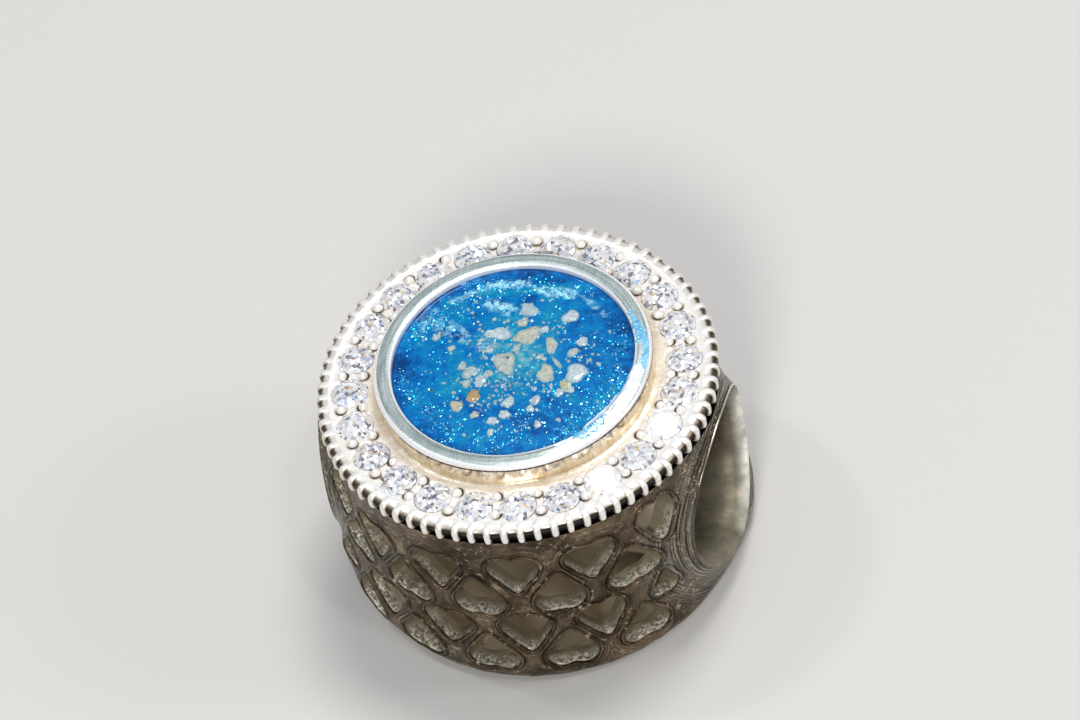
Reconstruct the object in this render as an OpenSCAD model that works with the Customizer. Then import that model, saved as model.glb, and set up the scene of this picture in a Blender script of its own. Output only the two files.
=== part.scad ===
// Cremation bead: a pierced silver drum with a cross bore, a paved halo with a
// milgrain edge and a raised bezel cup filled with resin.
// +Z goes up through the resin face, X runs along the bore, and the origin is
// the middle of the bore. The drum rests on its flat back at z = -back_z.

/* [Drum] */
// Outside radius of the plain drum wall
wall_r = 5.8; // [5.75:0.05:5.85]
// Thickness of the drum wall
wall_t = 0.55; // [0.45:0.05:0.65]
// Height of the halo rim above the bore's axis
rim_z = 3.65; // [3.65:0.05:3.75]
// Depth of the flat back below the bore's axis
back_z = 3.75; // [3.75:0.05:3.9]
// Thickness of the back plate
back_t = 0.6; // [0.45:0.05:0.7]
// Radius of the rounded lower edge
foot_r = 0.6; // [0.5:0.05:0.8]

/* [Hearts] */
// Width of a heart window
heart_w = 1.56; // [1.4:0.02:1.6]
// Height of a heart window
heart_h = 1.64; // [1.5:0.02:1.68]

/* [Bore] */
// Radius of the cross bore
bore_r = 2.3; // [2.2:0.05:2.3]
// Thickness of the bore tube
tube_t = 0.27; // [0.2:0.01:0.3]
// Distance from the middle to each mouth
mouth_x = 6; // [5.92:0.01:6.02]
// Outside radius of the rolled lip around each mouth
lip_r = 2.75; // [2.7:0.01:2.8]
// Radius of the lip's rounding into the bore
throat_r = 0.26; // [0.2:0.01:0.28]
// Radius of the hollow waist behind each lip
waist_r = 1; // [0.9:0.05:1.05]

/* [Halo] */
// Outside radius over the milgrain teeth
rim_r = 6; // [5.95:0.05:6.1]
// Number of milgrain teeth
teeth = 76; // [72:4:88]
// Height of a tooth on the outside
tooth_h = 0.52; // [0.46:0.02:0.52]
// Turn of the first tooth from the bore's axis, in degrees
tooth_turn = 2.6; // [0:0.1:4.7]
// Number of stones in the halo
stones = 24; // [22:1:24]
// Diameter of one stone
stone_d = 1.12; // [1:0.02:1.16]
// Radius of the circle through the stones
stone_r = 4.97; // [4.9:0.01:5]
// Turn of the first stone from the bore's axis, in degrees
stone_turn = 1.3; // [0:0.1:7]
// Radius of one bead prong
prong_r = 0.14; // [0.1:0.01:0.15]

/* [Bezel] */
// Outside radius of the bezel cup
cup_r = 4.15; // [4.1:0.01:4.18]
// Inside radius of the bezel cup
cup_in_r = 3.62; // [3.5:0.01:3.7]
// Height of the cup above the halo rim
cup_rise = 0.76; // [0.6:0.02:0.9]
// Depth of the resin's edge below the cup's top
resin_drop = 0.22; // [0.15:0.01:0.3]
// Rise of the resin's middle above its edge
resin_dome = 0.14; // [0.05:0.01:0.2]

/* [Hidden] */
$fn = 64;

// Gap between two separate pieces
gap = 0.04;
// Deck under the halo and the cup
deck_lo = rim_z - 1.3;
deck_hi = rim_z - 1;
// Floor of the channel that takes the pave ring
seat_z = rim_z - 0.6;
// Inside radius of the milgrain rim
rim_in = wall_r - 0.2;
// Pocket that takes the cup
pocket_r = cup_r + gap;
// Radius of the cylinder behind the teeth
root_r = wall_r - 0.02;
// Width of the groove between two teeth at the rim
groove_w = 2 * PI * rim_r / teeth * 0.46;
// Inside of the drum
hollow_r = wall_r - wall_t;
hollow_foot = max(0.3, foot_r - wall_t);
// Radius of a heart's lobes and of its rounded tip
lobe_r = heart_w * 0.297;
tip_r = 0.11;
// Hearts of one side: degrees from the front, depth of the middle below the rim,
// 1 = point down or -1 = point up, width and height as parts of the full size
HEARTS = [
    [-55.6, 2.60,  1, 0.76, 0.98], [-36.5, 2.60,  1, 1.04, 0.97], [-12.2, 2.41,  1, 1.00, 0.95],
    [ 11.8, 2.26,  1, 0.98, 0.97], [ 34.6, 2.24,  1, 1.03, 0.92], [ 57.2, 2.02,  1, 0.82, 1.04],
    [-48.5, 3.63, -1, 0.93, 0.92], [-24.6, 3.42, -1, 1.05, 1.02], [ -0.6, 3.23, -1, 0.99, 1.04],
    [ 23.5, 3.19, -1, 0.99, 1.02], [ 46.6, 3.17, -1, 1.05, 0.98],
    [-56.5, 5.16, -1, 0.50, 0.62], [-36.8, 5.37,  1, 1.04, 0.97], [-12.9, 5.11,  1, 1.06, 0.88],
    [ 11.5, 5.00,  1, 0.99, 1.02], [ 34.8, 4.97,  1, 0.95, 0.98], [ 54.8, 4.68, -1, 0.50, 0.74],
    [-48.3, 6.27, -1, 0.86, 0.97], [-25.4, 6.15, -1, 1.05, 0.90], [ -0.3, 5.87, -1, 1.00, 0.98],
    [ 23.6, 5.84, -1, 1.00, 0.95], [ 47.3, 5.88, -1, 1.05, 0.87]
];

// Section of a drum with a rounded lower edge, from the axis outwards
module drum_section(r, lo, hi, foot) {
    translate([0, lo]) square([r - foot, hi - lo]);
    translate([0, lo + foot]) square([r, hi - lo - foot]);
    translate([r - foot, lo + foot]) circle(r = foot);
}

// Keeps the half of a section that rotate_extrude may turn
module right_half(h = 40) {
    intersection() {
        union() children();
        translate([0, -h / 2]) square([h, h]);
    }
}

// Heart outline, point down, its middle at the origin
module heart_2d(w, h, lobe) {
    cx = w / 2 - lobe;
    cy = h / 2 - lobe;
    ty = -h / 2 + tip_r;
    // Line that touches the tip's circle and the right lobe
    d = sqrt(cx * cx + (cy - ty) * (cy - ty));
    n = atan2(cy - ty, cx) - acos((tip_r - lobe) / d);
    translate([cx, cy]) circle(r = lobe, $fn = 32);
    translate([-cx, cy]) circle(r = lobe, $fn = 32);
    translate([0, ty]) circle(r = tip_r, $fn = 16);
    polygon([
        [tip_r * cos(n), ty + tip_r * sin(n)],
        [cx + lobe * cos(n), cy + lobe * sin(n)],
        [cx, cy],
        [-cx, cy],
        [-cx - lobe * cos(n), cy + lobe * sin(n)],
        [-tip_r * cos(n), ty + tip_r * sin(n)]
    ]);
}

// One heart cut, through the wall at its angle from the front
module heart_cut(h) {
    rotate([0, 0, h[0]])
        translate([0, -(hollow_r - 0.2), rim_z - h[1]])
            rotate([90, 0, 0])
                linear_extrude(wall_t + 1.2)
                    scale([h[3], h[4]])
                        rotate(h[2] > 0 ? 0 : 180)
                            heart_2d(heart_w, heart_h, lobe_r);
}

// All hearts of one side
module heart_field() {
    for (h = HEARTS) heart_cut(h);
}

// Toothed outline of the rim
module milgrain_2d() {
    difference() {
        circle(r = rim_r, $fn = 180);
        for (i = [0:teeth - 1])
            rotate((i + 0.5) * 360 / teeth + tooth_turn)
                translate([root_r, -groove_w / 2])
                    square([1, groove_w]);
    }
}

// Upright teeth with rounded upper and lower ends
module milgrain() {
    round_r = rim_r - root_r;
    intersection() {
        translate([0, 0, rim_z - tooth_h])
            linear_extrude(tooth_h) milgrain_2d();
        rotate_extrude($fn = 180)
            right_half() {
                translate([0, rim_z - tooth_h]) square([rim_r - round_r, tooth_h]);
                translate([0, rim_z - tooth_h + round_r]) square([rim_r, tooth_h - 2 * round_r]);
                translate([rim_r - round_r, rim_z - round_r]) circle(r = round_r);
                translate([rim_r - round_r, rim_z - tooth_h + round_r]) circle(r = round_r);
            }
    }
}

// One mouth's collar with its hollow waist, turned about the bore axis
module collar() {
    round_r = 0.13;
    waist_x = mouth_x - 0.32;
    rotate([0, 90, 0])
        rotate_extrude($fn = 96)
            right_half() {
                difference() {
                    translate([0, waist_x - waist_r]) square([lip_r + 0.45, waist_r]);
                    translate([lip_r + waist_r, waist_x]) circle(r = waist_r);
                }
                translate([0, waist_x - 0.2]) square([lip_r, mouth_x - round_r - waist_x + 0.2]);
                translate([0, mouth_x - round_r - 0.1]) square([lip_r - round_r, round_r + 0.1]);
                translate([lip_r - round_r, mouth_x - round_r]) circle(r = round_r);
            }
}

// Rounding of one mouth, cut away from the bore outwards
module throat() {
    difference() {
        translate([0, mouth_x - throat_r]) square([bore_r + throat_r, 1]);
        translate([bore_r + throat_r, mouth_x - throat_r]) circle(r = throat_r);
    }
}

// Space of the bore, rounded out at both mouths
module bore_space() {
    rotate([0, 90, 0]) {
        cylinder(r = bore_r, h = 4 * mouth_x, center = true, $fn = 96);
        rotate_extrude($fn = 96) right_half() throat();
    }
    rotate([0, -90, 0]) rotate_extrude($fn = 96) right_half() throat();
}

// Cast body: wall, back, deck, rim, bore tube and collars in one piece
module drum_body() {
    color([0.86, 0.84, 0.80])
    difference() {
        union() {
            difference() {
                union() {
                    // Shell
                    difference() {
                        rotate_extrude($fn = 180)
                            right_half() drum_section(wall_r, -back_z, rim_z - tooth_h + 0.1, foot_r);
                        rotate_extrude($fn = 180)
                            right_half() drum_section(hollow_r, -back_z + back_t, deck_lo, hollow_foot);
                    }
                    // Flared mouths, kept between the back and the rim
                    intersection() {
                        union() {
                            collar();
                            mirror([1, 0, 0]) collar();
                        }
                        translate([0, 0, -back_z + 0.3])
                            cylinder(r = rim_r + 0.5, h = back_z + rim_z - tooth_h - 0.2, $fn = 180);
                    }
                }
                heart_field();
                rotate([0, 0, 180]) heart_field();
            }
            milgrain();
            // Bore tube
            rotate([0, 90, 0]) cylinder(r = bore_r + tube_t, h = 2 * mouth_x - 0.6, center = true, $fn = 96);
        }
        // Channel for the pave ring and pocket for the cup
        translate([0, 0, seat_z]) cylinder(r = rim_in, h = 1, $fn = 180);
        translate([0, 0, deck_hi]) cylinder(r = pocket_r, h = 2, $fn = 180);
        bore_space();
    }
}

// Paved surface: plate with conical stone seats and shared bead prongs
module pave_ring() {
    plate_hi = rim_z - 0.16;
    pitch = 360 / stones;
    color([0.88, 0.86, 0.82])
    difference() {
        union() {
            translate([0, 0, seat_z + gap])
                difference() {
                    cylinder(r = rim_in - gap, h = plate_hi - seat_z - gap, $fn = 180);
                    translate([0, 0, -1]) cylinder(r = pocket_r, h = 3, $fn = 180);
                }
            for (i = [0:stones - 1])
                rotate([0, 0, (i + 0.5) * pitch + stone_turn])
                    for (r = [stone_r - 0.42, stone_r + 0.44])
                        translate([r, 0, plate_hi - 0.03]) sphere(r = prong_r, $fn = 24);
        }
        for (i = [0:stones - 1])
            rotate([0, 0, i * pitch + stone_turn])
                translate([stone_r, 0, seat_z + 0.14])
                    cylinder(r1 = 0.2, r2 = stone_d / 2, h = plate_hi - seat_z - 0.14 + 0.001, $fn = 32);
    }
}

// Turned cup with a small outer bevel and a broken inner edge
module bezel_cup() {
    top = rim_z + cup_rise;
    lo = deck_hi + gap;
    color([0.87, 0.86, 0.83])
    rotate_extrude($fn = 180)
        polygon([
            [0, lo], [cup_r, lo], [cup_r, top - 0.12], [cup_r - 0.1, top],
            [cup_in_r + 0.06, top], [cup_in_r, top - 0.06], [cup_in_r, lo + 0.4], [0, lo + 0.4]
        ]);
}

// Resin with the ashes, slightly domed
module resin_fill() {
    edge_z = rim_z + cup_rise - resin_drop;
    r = cup_in_r - 0.02;
    lo = deck_hi + gap + 0.42;
    dome_r = (r * r + resin_dome * resin_dome) / (2 * resin_dome);
    color([0.05, 0.42, 0.72])
    rotate_extrude($fn = 180)
        right_half(120)
            intersection() {
                translate([0, lo]) square([r, 3]);
                translate([0, edge_z + resin_dome - dome_r]) circle(r = dome_r, $fn = 360);
            }
}

drum_body();
pave_ring();
bezel_cup();
resin_fill();
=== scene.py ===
import math
import random
import bpy
import numpy as np
from mathutils import Matrix, Vector, noise
from mathutils.geometry import delaunay_2d_cdt


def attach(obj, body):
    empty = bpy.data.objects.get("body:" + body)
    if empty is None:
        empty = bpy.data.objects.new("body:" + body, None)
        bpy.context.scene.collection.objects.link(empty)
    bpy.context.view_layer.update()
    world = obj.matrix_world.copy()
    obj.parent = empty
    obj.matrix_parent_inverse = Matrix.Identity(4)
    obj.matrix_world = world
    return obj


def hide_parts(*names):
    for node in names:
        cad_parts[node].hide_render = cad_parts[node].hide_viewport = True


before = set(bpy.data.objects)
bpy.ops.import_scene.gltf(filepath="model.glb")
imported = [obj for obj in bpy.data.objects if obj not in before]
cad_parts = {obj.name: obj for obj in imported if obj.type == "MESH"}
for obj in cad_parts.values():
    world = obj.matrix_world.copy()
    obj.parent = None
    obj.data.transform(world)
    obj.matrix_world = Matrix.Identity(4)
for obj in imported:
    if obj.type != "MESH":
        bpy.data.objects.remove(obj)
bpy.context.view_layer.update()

# ---------------------------------------------------------------- sizes (mm)
MM = 0.001
RIM = 3.65          # halo rim above the bore's axis
BACK = -3.75        # flat back
WALL_R, HOLLOW_R = 5.8, 5.25
FOOT = 0.6
FOOT_Z = BACK + FOOT
PLATE_Z = BACK + 0.6
IN_FOOT = 0.3
IN_FOOT_Z = PLATE_Z + IN_FOOT
TOOTH_H = 0.52
RIM_R, ROOT_R, RIM_IN = 6.0, 5.78, 5.6
TEETH, TOOTH_TURN = 76, 2.6
SEAT_Z = RIM - 0.6
DECK_HI = RIM - 1.0
DECK_LO = RIM - 1.3
CUP_R, CUP_IN = 4.15, 3.62
CUP_TOP = RIM + 0.76
STONES, STONE_D, STONE_R, STONE_TURN = 24, 1.12, 4.97, 1.3
PLATE_HI = RIM - 0.16
RESIN_R = 3.6
RESIN_EDGE = CUP_TOP - 0.22
RESIN_RISE = 0.14
BORE_R, TUBE_R, LIP_R = 2.3, 2.57, 2.75
HEART_W, HEART_H = 1.56, 1.64
HEARTS = [  # degrees from the front, depth of the middle below the rim, way (1 point down), width and height factors
    (-55.6, 2.60, 1, 0.76, 0.98), (-36.5, 2.60, 1, 1.04, 0.97), (-12.2, 2.41, 1, 1.00, 0.95),
    (11.8, 2.26, 1, 0.98, 0.97), (34.6, 2.24, 1, 1.03, 0.92), (57.2, 2.02, 1, 0.82, 1.04),
    (-48.5, 3.63, -1, 0.93, 0.92), (-24.6, 3.42, -1, 1.05, 1.02), (-0.6, 3.23, -1, 0.99, 1.04),
    (23.5, 3.19, -1, 0.99, 1.02), (46.6, 3.17, -1, 1.05, 0.98),
    (-56.5, 5.16, -1, 0.50, 0.62), (-36.8, 5.37, 1, 1.04, 0.97), (-12.9, 5.11, 1, 1.06, 0.88),
    (11.5, 5.00, 1, 0.99, 1.02), (34.8, 4.97, 1, 0.95, 0.98), (54.8, 4.68, -1, 0.50, 0.74),
    (-48.3, 6.27, -1, 0.86, 0.97), (-25.4, 6.15, -1, 1.05, 0.90), (-0.3, 5.87, -1, 1.00, 0.98),
    (23.6, 5.84, -1, 1.00, 0.95), (47.3, 5.88, -1, 1.05, 0.87),
]
rng = np.random.default_rng(11)


# ---------------------------------------------------------------- mesh tools
def make(name, V, F, mats=(), smooth=35.0, attrs=None, mat_index=None, weld=False):
    """Mesh object from millimetre points. attrs: name -> one number per point."""
    V = np.asarray(V, float)
    if weld:
        key = np.round(V * 20000).astype(np.int64)
        _, first, inv = np.unique(key, axis=0, return_index=True, return_inverse=True)
        inv = inv.reshape(-1)
        V = V[first]
        if attrs:
            attrs = {k: np.asarray(a)[first] for k, a in attrs.items()}
        G, keep = [], []
        for n, f in enumerate(F):
            g = []
            for i in f:
                j = int(inv[i])
                if not g or (g[-1] != j):
                    g.append(j)
            if len(g) > 1 and g[0] == g[-1]:
                g.pop()
            if len(set(g)) >= 3 and len(set(g)) == len(g):
                G.append(g)
                keep.append(n)
        F = G
        if mat_index is not None:
            mat_index = [mat_index[n] for n in keep]
    me = bpy.data.meshes.new(name)
    me.from_pydata((V * MM).tolist(), [], [list(map(int, f)) for f in F])
    me.update()
    for m in mats:
        me.materials.append(m)
    if mat_index is not None:
        me.polygons.foreach_set("material_index", np.asarray(mat_index, np.int32))
    if attrs:
        for k, a in attrs.items():
            at = me.attributes.new(k, "FLOAT", "POINT")
            at.data.foreach_set("value", np.asarray(a, np.float32))
    me.polygons.foreach_set("use_smooth", np.ones(len(me.polygons), bool))
    if smooth is not None:
        me.set_sharp_from_angle(angle=math.radians(smooth))
    ob = bpy.data.objects.new(name, me)
    bpy.context.scene.collection.objects.link(ob)
    return ob


def grid_faces(n, m, wrap_n=False, wrap_m=False, base=0, flip=False):
    """Quads of an n by m grid of points stored row by row (n rows of m)."""
    F = []
    for i in range(n if wrap_n else n - 1):
        i2 = (i + 1) % n
        for j in range(m if wrap_m else m - 1):
            j2 = (j + 1) % m
            q = (base + i * m + j, base + i * m + j2, base + i2 * m + j2, base + i2 * m + j)
            F.append(q[::-1] if flip else q)
    return F


def lathe(profile, n, closed=True, turn=0.0):
    """Points and quads of a profile [(r, z)] turned about Z. A closed profile gives a ring."""
    P = np.asarray(profile, float)
    a = np.linspace(0, 2 * np.pi, n + 1)[:-1] + turn
    V = np.stack([np.outer(np.cos(a), P[:, 0]), np.outer(np.sin(a), P[:, 0]),
                  np.tile(P[:, 1], (n, 1))], -1).reshape(-1, 3)
    return V, grid_faces(n, len(P), wrap_n=True, wrap_m=closed)


def lathe_solid(profile, n, turn=0.0):
    """A solid whose profile starts and ends on the axis."""
    P = np.asarray(profile, float)
    V, F = lathe(P[1:-1], n, closed=False, turn=turn)
    m = len(P) - 2
    lo, hi = len(V), len(V) + 1
    V = np.vstack([V, [[0, 0, P[0, 1]], [0, 0, P[-1, 1]]]])
    for i in range(n):
        i2 = (i + 1) % n
        F.append((lo, i * m, i2 * m))
        F.append((hi, i2 * m + m - 1, i * m + m - 1))
    return V, F


def arc(cx, cy, r, a0, a1, n):
    t = np.radians(np.linspace(a0, a1, n))
    return np.c_[cx + r * np.cos(t), cy + r * np.sin(t)]


def fract_noise(P, scale, octaves=3, seed=0.0):
    """Smooth noise, about -1 to 1, at each point."""
    out = np.empty(len(P))
    for i, p in enumerate(P):
        v, a, s = 0.0, 1.0, scale
        for _ in range(octaves):
            v += a * noise.noise(Vector((p[0] * s + seed, p[1] * s - seed, p[2] * s + 3.7 * seed)))
            a *= 0.5
            s *= 2.03
        out[i] = v
    return out


class Bag:
    """Gathers points, faces and per-point values of one mesh."""

    def __init__(self, *names):
        self.V, self.F, self.M, self.names = [], [], [], names
        self.A = {k: [] for k in names}
        self.n = 0

    def add(self, V, F, mat=0, **vals):
        V = np.asarray(V, float).reshape(-1, 3)
        b = self.n
        self.V.append(V)
        self.F += [tuple(b + i for i in f) for f in F]
        self.M += list(mat) if isinstance(mat, list) else [mat] * len(F)
        for k in self.names:
            a = vals.get(k, 0.0)
            self.A[k].append(np.broadcast_to(np.asarray(a, float), (len(V),)).copy())
        self.n += len(V)
        return b

    def build(self, name, mats, **kw):
        return make(name, np.vstack(self.V), self.F, mats,
                    attrs={k: np.concatenate(v) for k, v in self.A.items()},
                    mat_index=self.M, **kw)


# ---------------------------------------------------------------- materials
def new_mat(name):
    m = bpy.data.materials.new(name)
    m.use_nodes = True
    nt = m.node_tree
    return m, nt, nt.nodes["Principled BSDF"]


def N(nt, kind, **props):
    n = nt.nodes.new(kind)
    for k, v in props.items():
        setattr(n, k, v)
    return n


def ramp(nt, src, stops, interp="LINEAR"):
    r = N(nt, "ShaderNodeValToRGB")
    r.color_ramp.interpolation = interp
    e = r.color_ramp.elements
    while len(e) < len(stops):
        e.new(0.5)
    for i, (p, c) in enumerate(stops):
        e[i].position = p
        e[i].color = (c, c, c, 1) if isinstance(c, (int, float)) else (*c, 1)
    nt.links.new(src, r.inputs[0])
    return r.outputs[0]


def mathn(nt, op, a, b=None, clamp=False):
    n = N(nt, "ShaderNodeMath", operation=op, use_clamp=clamp)
    for i, v in enumerate((a, b)):
        if v is None:
            continue
        if isinstance(v, (int, float)):
            n.inputs[i].default_value = v
        else:
            nt.links.new(v, n.inputs[i])
    return n.outputs[0]


def mixc(nt, fac, a, b, blend="MIX"):
    n = N(nt, "ShaderNodeMix", data_type="RGBA", blend_type=blend)
    for i, v in ((0, fac), (6, a), (7, b)):
        if isinstance(v, (int, float)):
            n.inputs[i].default_value = v
        elif isinstance(v, tuple):
            n.inputs[i].default_value = (*v, 1)
        else:
            nt.links.new(v, n.inputs[i])
    return n.outputs[2]


def coords(nt):
    return N(nt, "ShaderNodeTexCoord").outputs["Object"]


def mapping(nt, src, scale=(1, 1, 1), rot=(0, 0, 0), loc=(0, 0, 0)):
    m = N(nt, "ShaderNodeMapping")
    m.inputs["Scale"].default_value = scale
    m.inputs["Rotation"].default_value = rot
    m.inputs["Location"].default_value = loc
    nt.links.new(src, m.inputs["Vector"])
    return m.outputs[0]


def noise_tex(nt, vec, scale, detail=4.0, rough=0.55, dist=0.0):
    n = N(nt, "ShaderNodeTexNoise")
    n.inputs["Scale"].default_value = scale
    n.inputs["Detail"].default_value = detail
    n.inputs["Roughness"].default_value = rough
    n.inputs["Distortion"].default_value = dist
    nt.links.new(vec, n.inputs["Vector"])
    return n.outputs["Fac"]


def voronoi(nt, vec, scale, out="Distance", feature="F1", rnd=1.0):
    n = N(nt, "ShaderNodeTexVoronoi", feature=feature)
    n.inputs["Scale"].default_value = scale
    n.inputs["Randomness"].default_value = rnd
    nt.links.new(vec, n.inputs["Vector"])
    return n.outputs[out]


def bump(nt, height, strength, dist, normal=None):
    b = N(nt, "ShaderNodeBump")
    b.inputs["Strength"].default_value = strength
    b.inputs["Distance"].default_value = dist
    nt.links.new(height, b.inputs["Height"])
    if normal is not None:
        nt.links.new(normal, b.inputs["Normal"])
    return b.outputs[0]


def attr(nt, name):
    return N(nt, "ShaderNodeAttribute", attribute_name=name).outputs["Fac"]


def link(nt, a, b):
    nt.links.new(a, b)


def mat_wall():
    """Cast silver of the pierced wall: a dark brown base colour that stands in for the dark ground it reflects (painted
    reflection), fine lines that run round the hearts and the mouths, and painted shade in its dents and along the
    windows.
    """
    m, nt, b = new_mat("cast_silver_wall")
    co = coords(nt)
    sep = N(nt, "ShaderNodeSeparateXYZ")
    link(nt, co, sep.inputs[0])
    cav, edge, md = attr(nt, "cav"), attr(nt, "edge"), attr(nt, "md")
    grain = noise_tex(nt, co, 9000, 5, 0.65)
    fine = noise_tex(nt, co, 26000, 3, 0.7)
    big = noise_tex(nt, co, 900, 4, 0.6)
    # fine lines that keep their distance from the nearest edge
    cmb = N(nt, "ShaderNodeCombineXYZ")
    link(nt, mathn(nt, "MULTIPLY", edge, 19.0), cmb.inputs[0])
    link(nt, mathn(nt, "MULTIPLY", sep.outputs[0], 1000.0), cmb.inputs[1])
    link(nt, mathn(nt, "MULTIPLY", sep.outputs[2], 1000.0), cmb.inputs[2])
    hair = noise_tex(nt, cmb.outputs[0], 1.0, 5, 0.62)
    # long brushed streaks beside the mouths
    cmb2 = N(nt, "ShaderNodeCombineXYZ")
    link(nt, mathn(nt, "MULTIPLY", md, 24.0), cmb2.inputs[0])
    link(nt, mathn(nt, "MULTIPLY", sep.outputs[1], 420.0), cmb2.inputs[1])
    link(nt, mathn(nt, "MULTIPLY", sep.outputs[2], 420.0), cmb2.inputs[2])
    streak = noise_tex(nt, cmb2.outputs[0], 1.0, 4, 0.6)
    near = ramp(nt, mathn(nt, "MULTIPLY", md, 0.5), [(0.40, 1.0), (0.80, 0.0)])
    col = ramp(nt, hair, [(0.30, (0.050, 0.035, 0.021)), (0.44, (0.110, 0.078, 0.047)), (0.58, (0.160, 0.118, 0.074)),
                          (0.68, (0.36, 0.29, 0.205))])
    tone = ramp(nt, big, [(0.36, (0.42, 0.39, 0.34)), (0.5, (1.0, 1.0, 1.0)), (0.64, (1.75, 1.72, 1.66))])
    col = mixc(nt, 1.0, col, tone, "MULTIPLY")
    wave = mathn(nt, "ADD", mathn(nt, "MULTIPLY", edge, 3.1), mathn(nt, "MULTIPLY", mathn(nt, "SUBTRACT", hair, 0.5), 0.30))
    ring = ramp(nt, wave, [(0.0, 0.85), (0.05, 0.9), (0.11, 0.22), (0.22, 1.35), (0.38, 0.45), (0.52, 1.2), (0.68, 0.75), (0.88, 1.0)])
    col = mixc(nt, 1.0, col, ring, "MULTIPLY")
    brushed = ramp(nt, streak, [(0.32, (0.022, 0.018, 0.014)), (0.43, (0.105, 0.089, 0.069)), (0.53, (0.25, 0.22, 0.175)),
                                (0.61, (0.38, 0.345, 0.285)), (0.70, (0.66, 0.61, 0.53))])
    col = mixc(nt, mathn(nt, "MULTIPLY", near, 0.92), col, mixc(nt, 1.0, brushed, ring, "MULTIPLY"))
    spots = ramp(nt, noise_tex(nt, co, 6000, 4, 0.7), [(0.57, 0.0), (0.63, 1.0)])
    spots = mathn(nt, "MULTIPLY", spots, ramp(nt, noise_tex(nt, co, 1300, 2, 0.5), [(0.44, 0.0), (0.58, 1.0)]))
    col = mixc(nt, mathn(nt, "MULTIPLY", spots, 0.8), col, (0.72, 0.60, 0.42))
    # painted shade: near black in the wall's dents, in the lines round the windows and on the lower front of the lips
    dark = ramp(nt, cav, [(0.30, 0.0), (1.0, 0.92)])
    col = mixc(nt, dark, col, (0.012, 0.008, 0.006))
    link(nt, col, b.inputs["Base Color"])
    b.inputs["Metallic"].default_value = 1.0
    link(nt, ramp(nt, grain, [(0.3, 0.12), (0.75, 0.34)]), b.inputs["Roughness"])
    n1 = bump(nt, hair, 0.9, 0.00009)
    n2 = bump(nt, mathn(nt, "MULTIPLY", streak, near), 0.8, 0.00012, n1)
    n3 = bump(nt, grain, 0.5, 0.00005, n2)
    link(nt, bump(nt, fine, 0.3, 0.00002, n3), b.inputs["Normal"])
    return m


def mat_cut():
    """Cut faces of the hearts: olive, with a pale cream crust as painted light where they face up near the outside, and
    painted white glints there.
    """
    m, nt, b = new_mat("cast_silver_cut")
    co = coords(nt)
    lip = attr(nt, "lip")
    big = noise_tex(nt, co, 600, 3, 0.5)
    g = noise_tex(nt, co, 9000, 6, 0.72)
    g2 = noise_tex(nt, mapping(nt, co, (1, 1, 0.35)), 21000, 4, 0.65)
    olive = ramp(nt, big, [(0.3, (0.25, 0.205, 0.130)), (0.7, (0.35, 0.30, 0.205))])
    # painted light: the pale crust shows where the cut face faces up near the outside, and as a thin bright line at the
    # outer edge
    lit_crust = ramp(nt, g2, [(0.34, (0.40, 0.33, 0.21)), (0.46, (0.84, 0.75, 0.55)), (0.56, (1.0, 0.94, 0.77))])
    mask = mathn(nt, "MULTIPLY", ramp(nt, lip, [(0.34, 0.0), (0.84, 1.0)]), ramp(nt, g, [(0.38, 0.05), (0.53, 1.0)]), clamp=True)
    mask = mathn(nt, "MAXIMUM", mask, ramp(nt, lip, [(0.90, 0.0), (0.97, 0.9)]))
    # painted glints: white cells within that lit part
    cell = voronoi(nt, co, 13000, "Color")
    sepc = N(nt, "ShaderNodeSeparateColor")
    link(nt, cell, sepc.inputs[0])
    glint = mathn(nt, "MULTIPLY", mask, ramp(nt, sepc.outputs[0], [(0.56, 0.0), (0.60, 1.0)]))
    col = mixc(nt, mask, olive, lit_crust)
    link(nt, mixc(nt, glint, col, (1.0, 1.0, 0.95)), b.inputs["Base Color"])
    metal = mathn(nt, "SUBTRACT", 0.45, mathn(nt, "MULTIPLY", mask, 0.33))
    link(nt, mathn(nt, "ADD", mathn(nt, "MULTIPLY", glint, 0.35), metal, clamp=True), b.inputs["Metallic"])
    link(nt, ramp(nt, mathn(nt, "SUBTRACT", g, mathn(nt, "MULTIPLY", glint, 0.4)), [(0.1, 0.10), (0.35, 0.26), (0.7, 0.5)]), b.inputs["Roughness"])
    n1 = bump(nt, g, 0.6, 0.00006)
    n2 = bump(nt, mathn(nt, "MULTIPLY", sepc.outputs[1], mask), 1.0, 0.00010, n1)
    link(nt, bump(nt, g2, 0.5, 0.00003, n2), b.inputs["Normal"])
    return m


def mat_inside():
    """Hidden cast faces: smooth, olive and satin."""
    m, nt, b = new_mat("cast_silver_inside")
    co = coords(nt)
    big = noise_tex(nt, co, 420, 3, 0.5)
    col = ramp(nt, big, [(0.3, (0.64, 0.57, 0.44)), (0.7, (0.78, 0.71, 0.57))])
    link(nt, col, b.inputs["Base Color"])
    b.inputs["Metallic"].default_value = 0.75
    link(nt, ramp(nt, noise_tex(nt, co, 5000, 4), [(0.3, 0.42), (0.7, 0.55)]), b.inputs["Roughness"])
    link(nt, bump(nt, noise_tex(nt, co, 4000, 3), 0.15, 0.00002), b.inputs["Normal"])
    return m


def mat_gap():
    """Near-black painted shade for the hollow under the rim's teeth."""
    m, nt, b = new_mat("gap_painted_shade")
    co = coords(nt)
    col = ramp(nt, noise_tex(nt, co, 6000, 3), [(0.4, (0.0015, 0.001, 0.001)), (0.7, (0.004, 0.003, 0.002))])
    link(nt, col, b.inputs["Base Color"])
    b.inputs["Roughness"].default_value = 0.9
    b.inputs["Specular IOR Level"].default_value = 0.05
    return m


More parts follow.
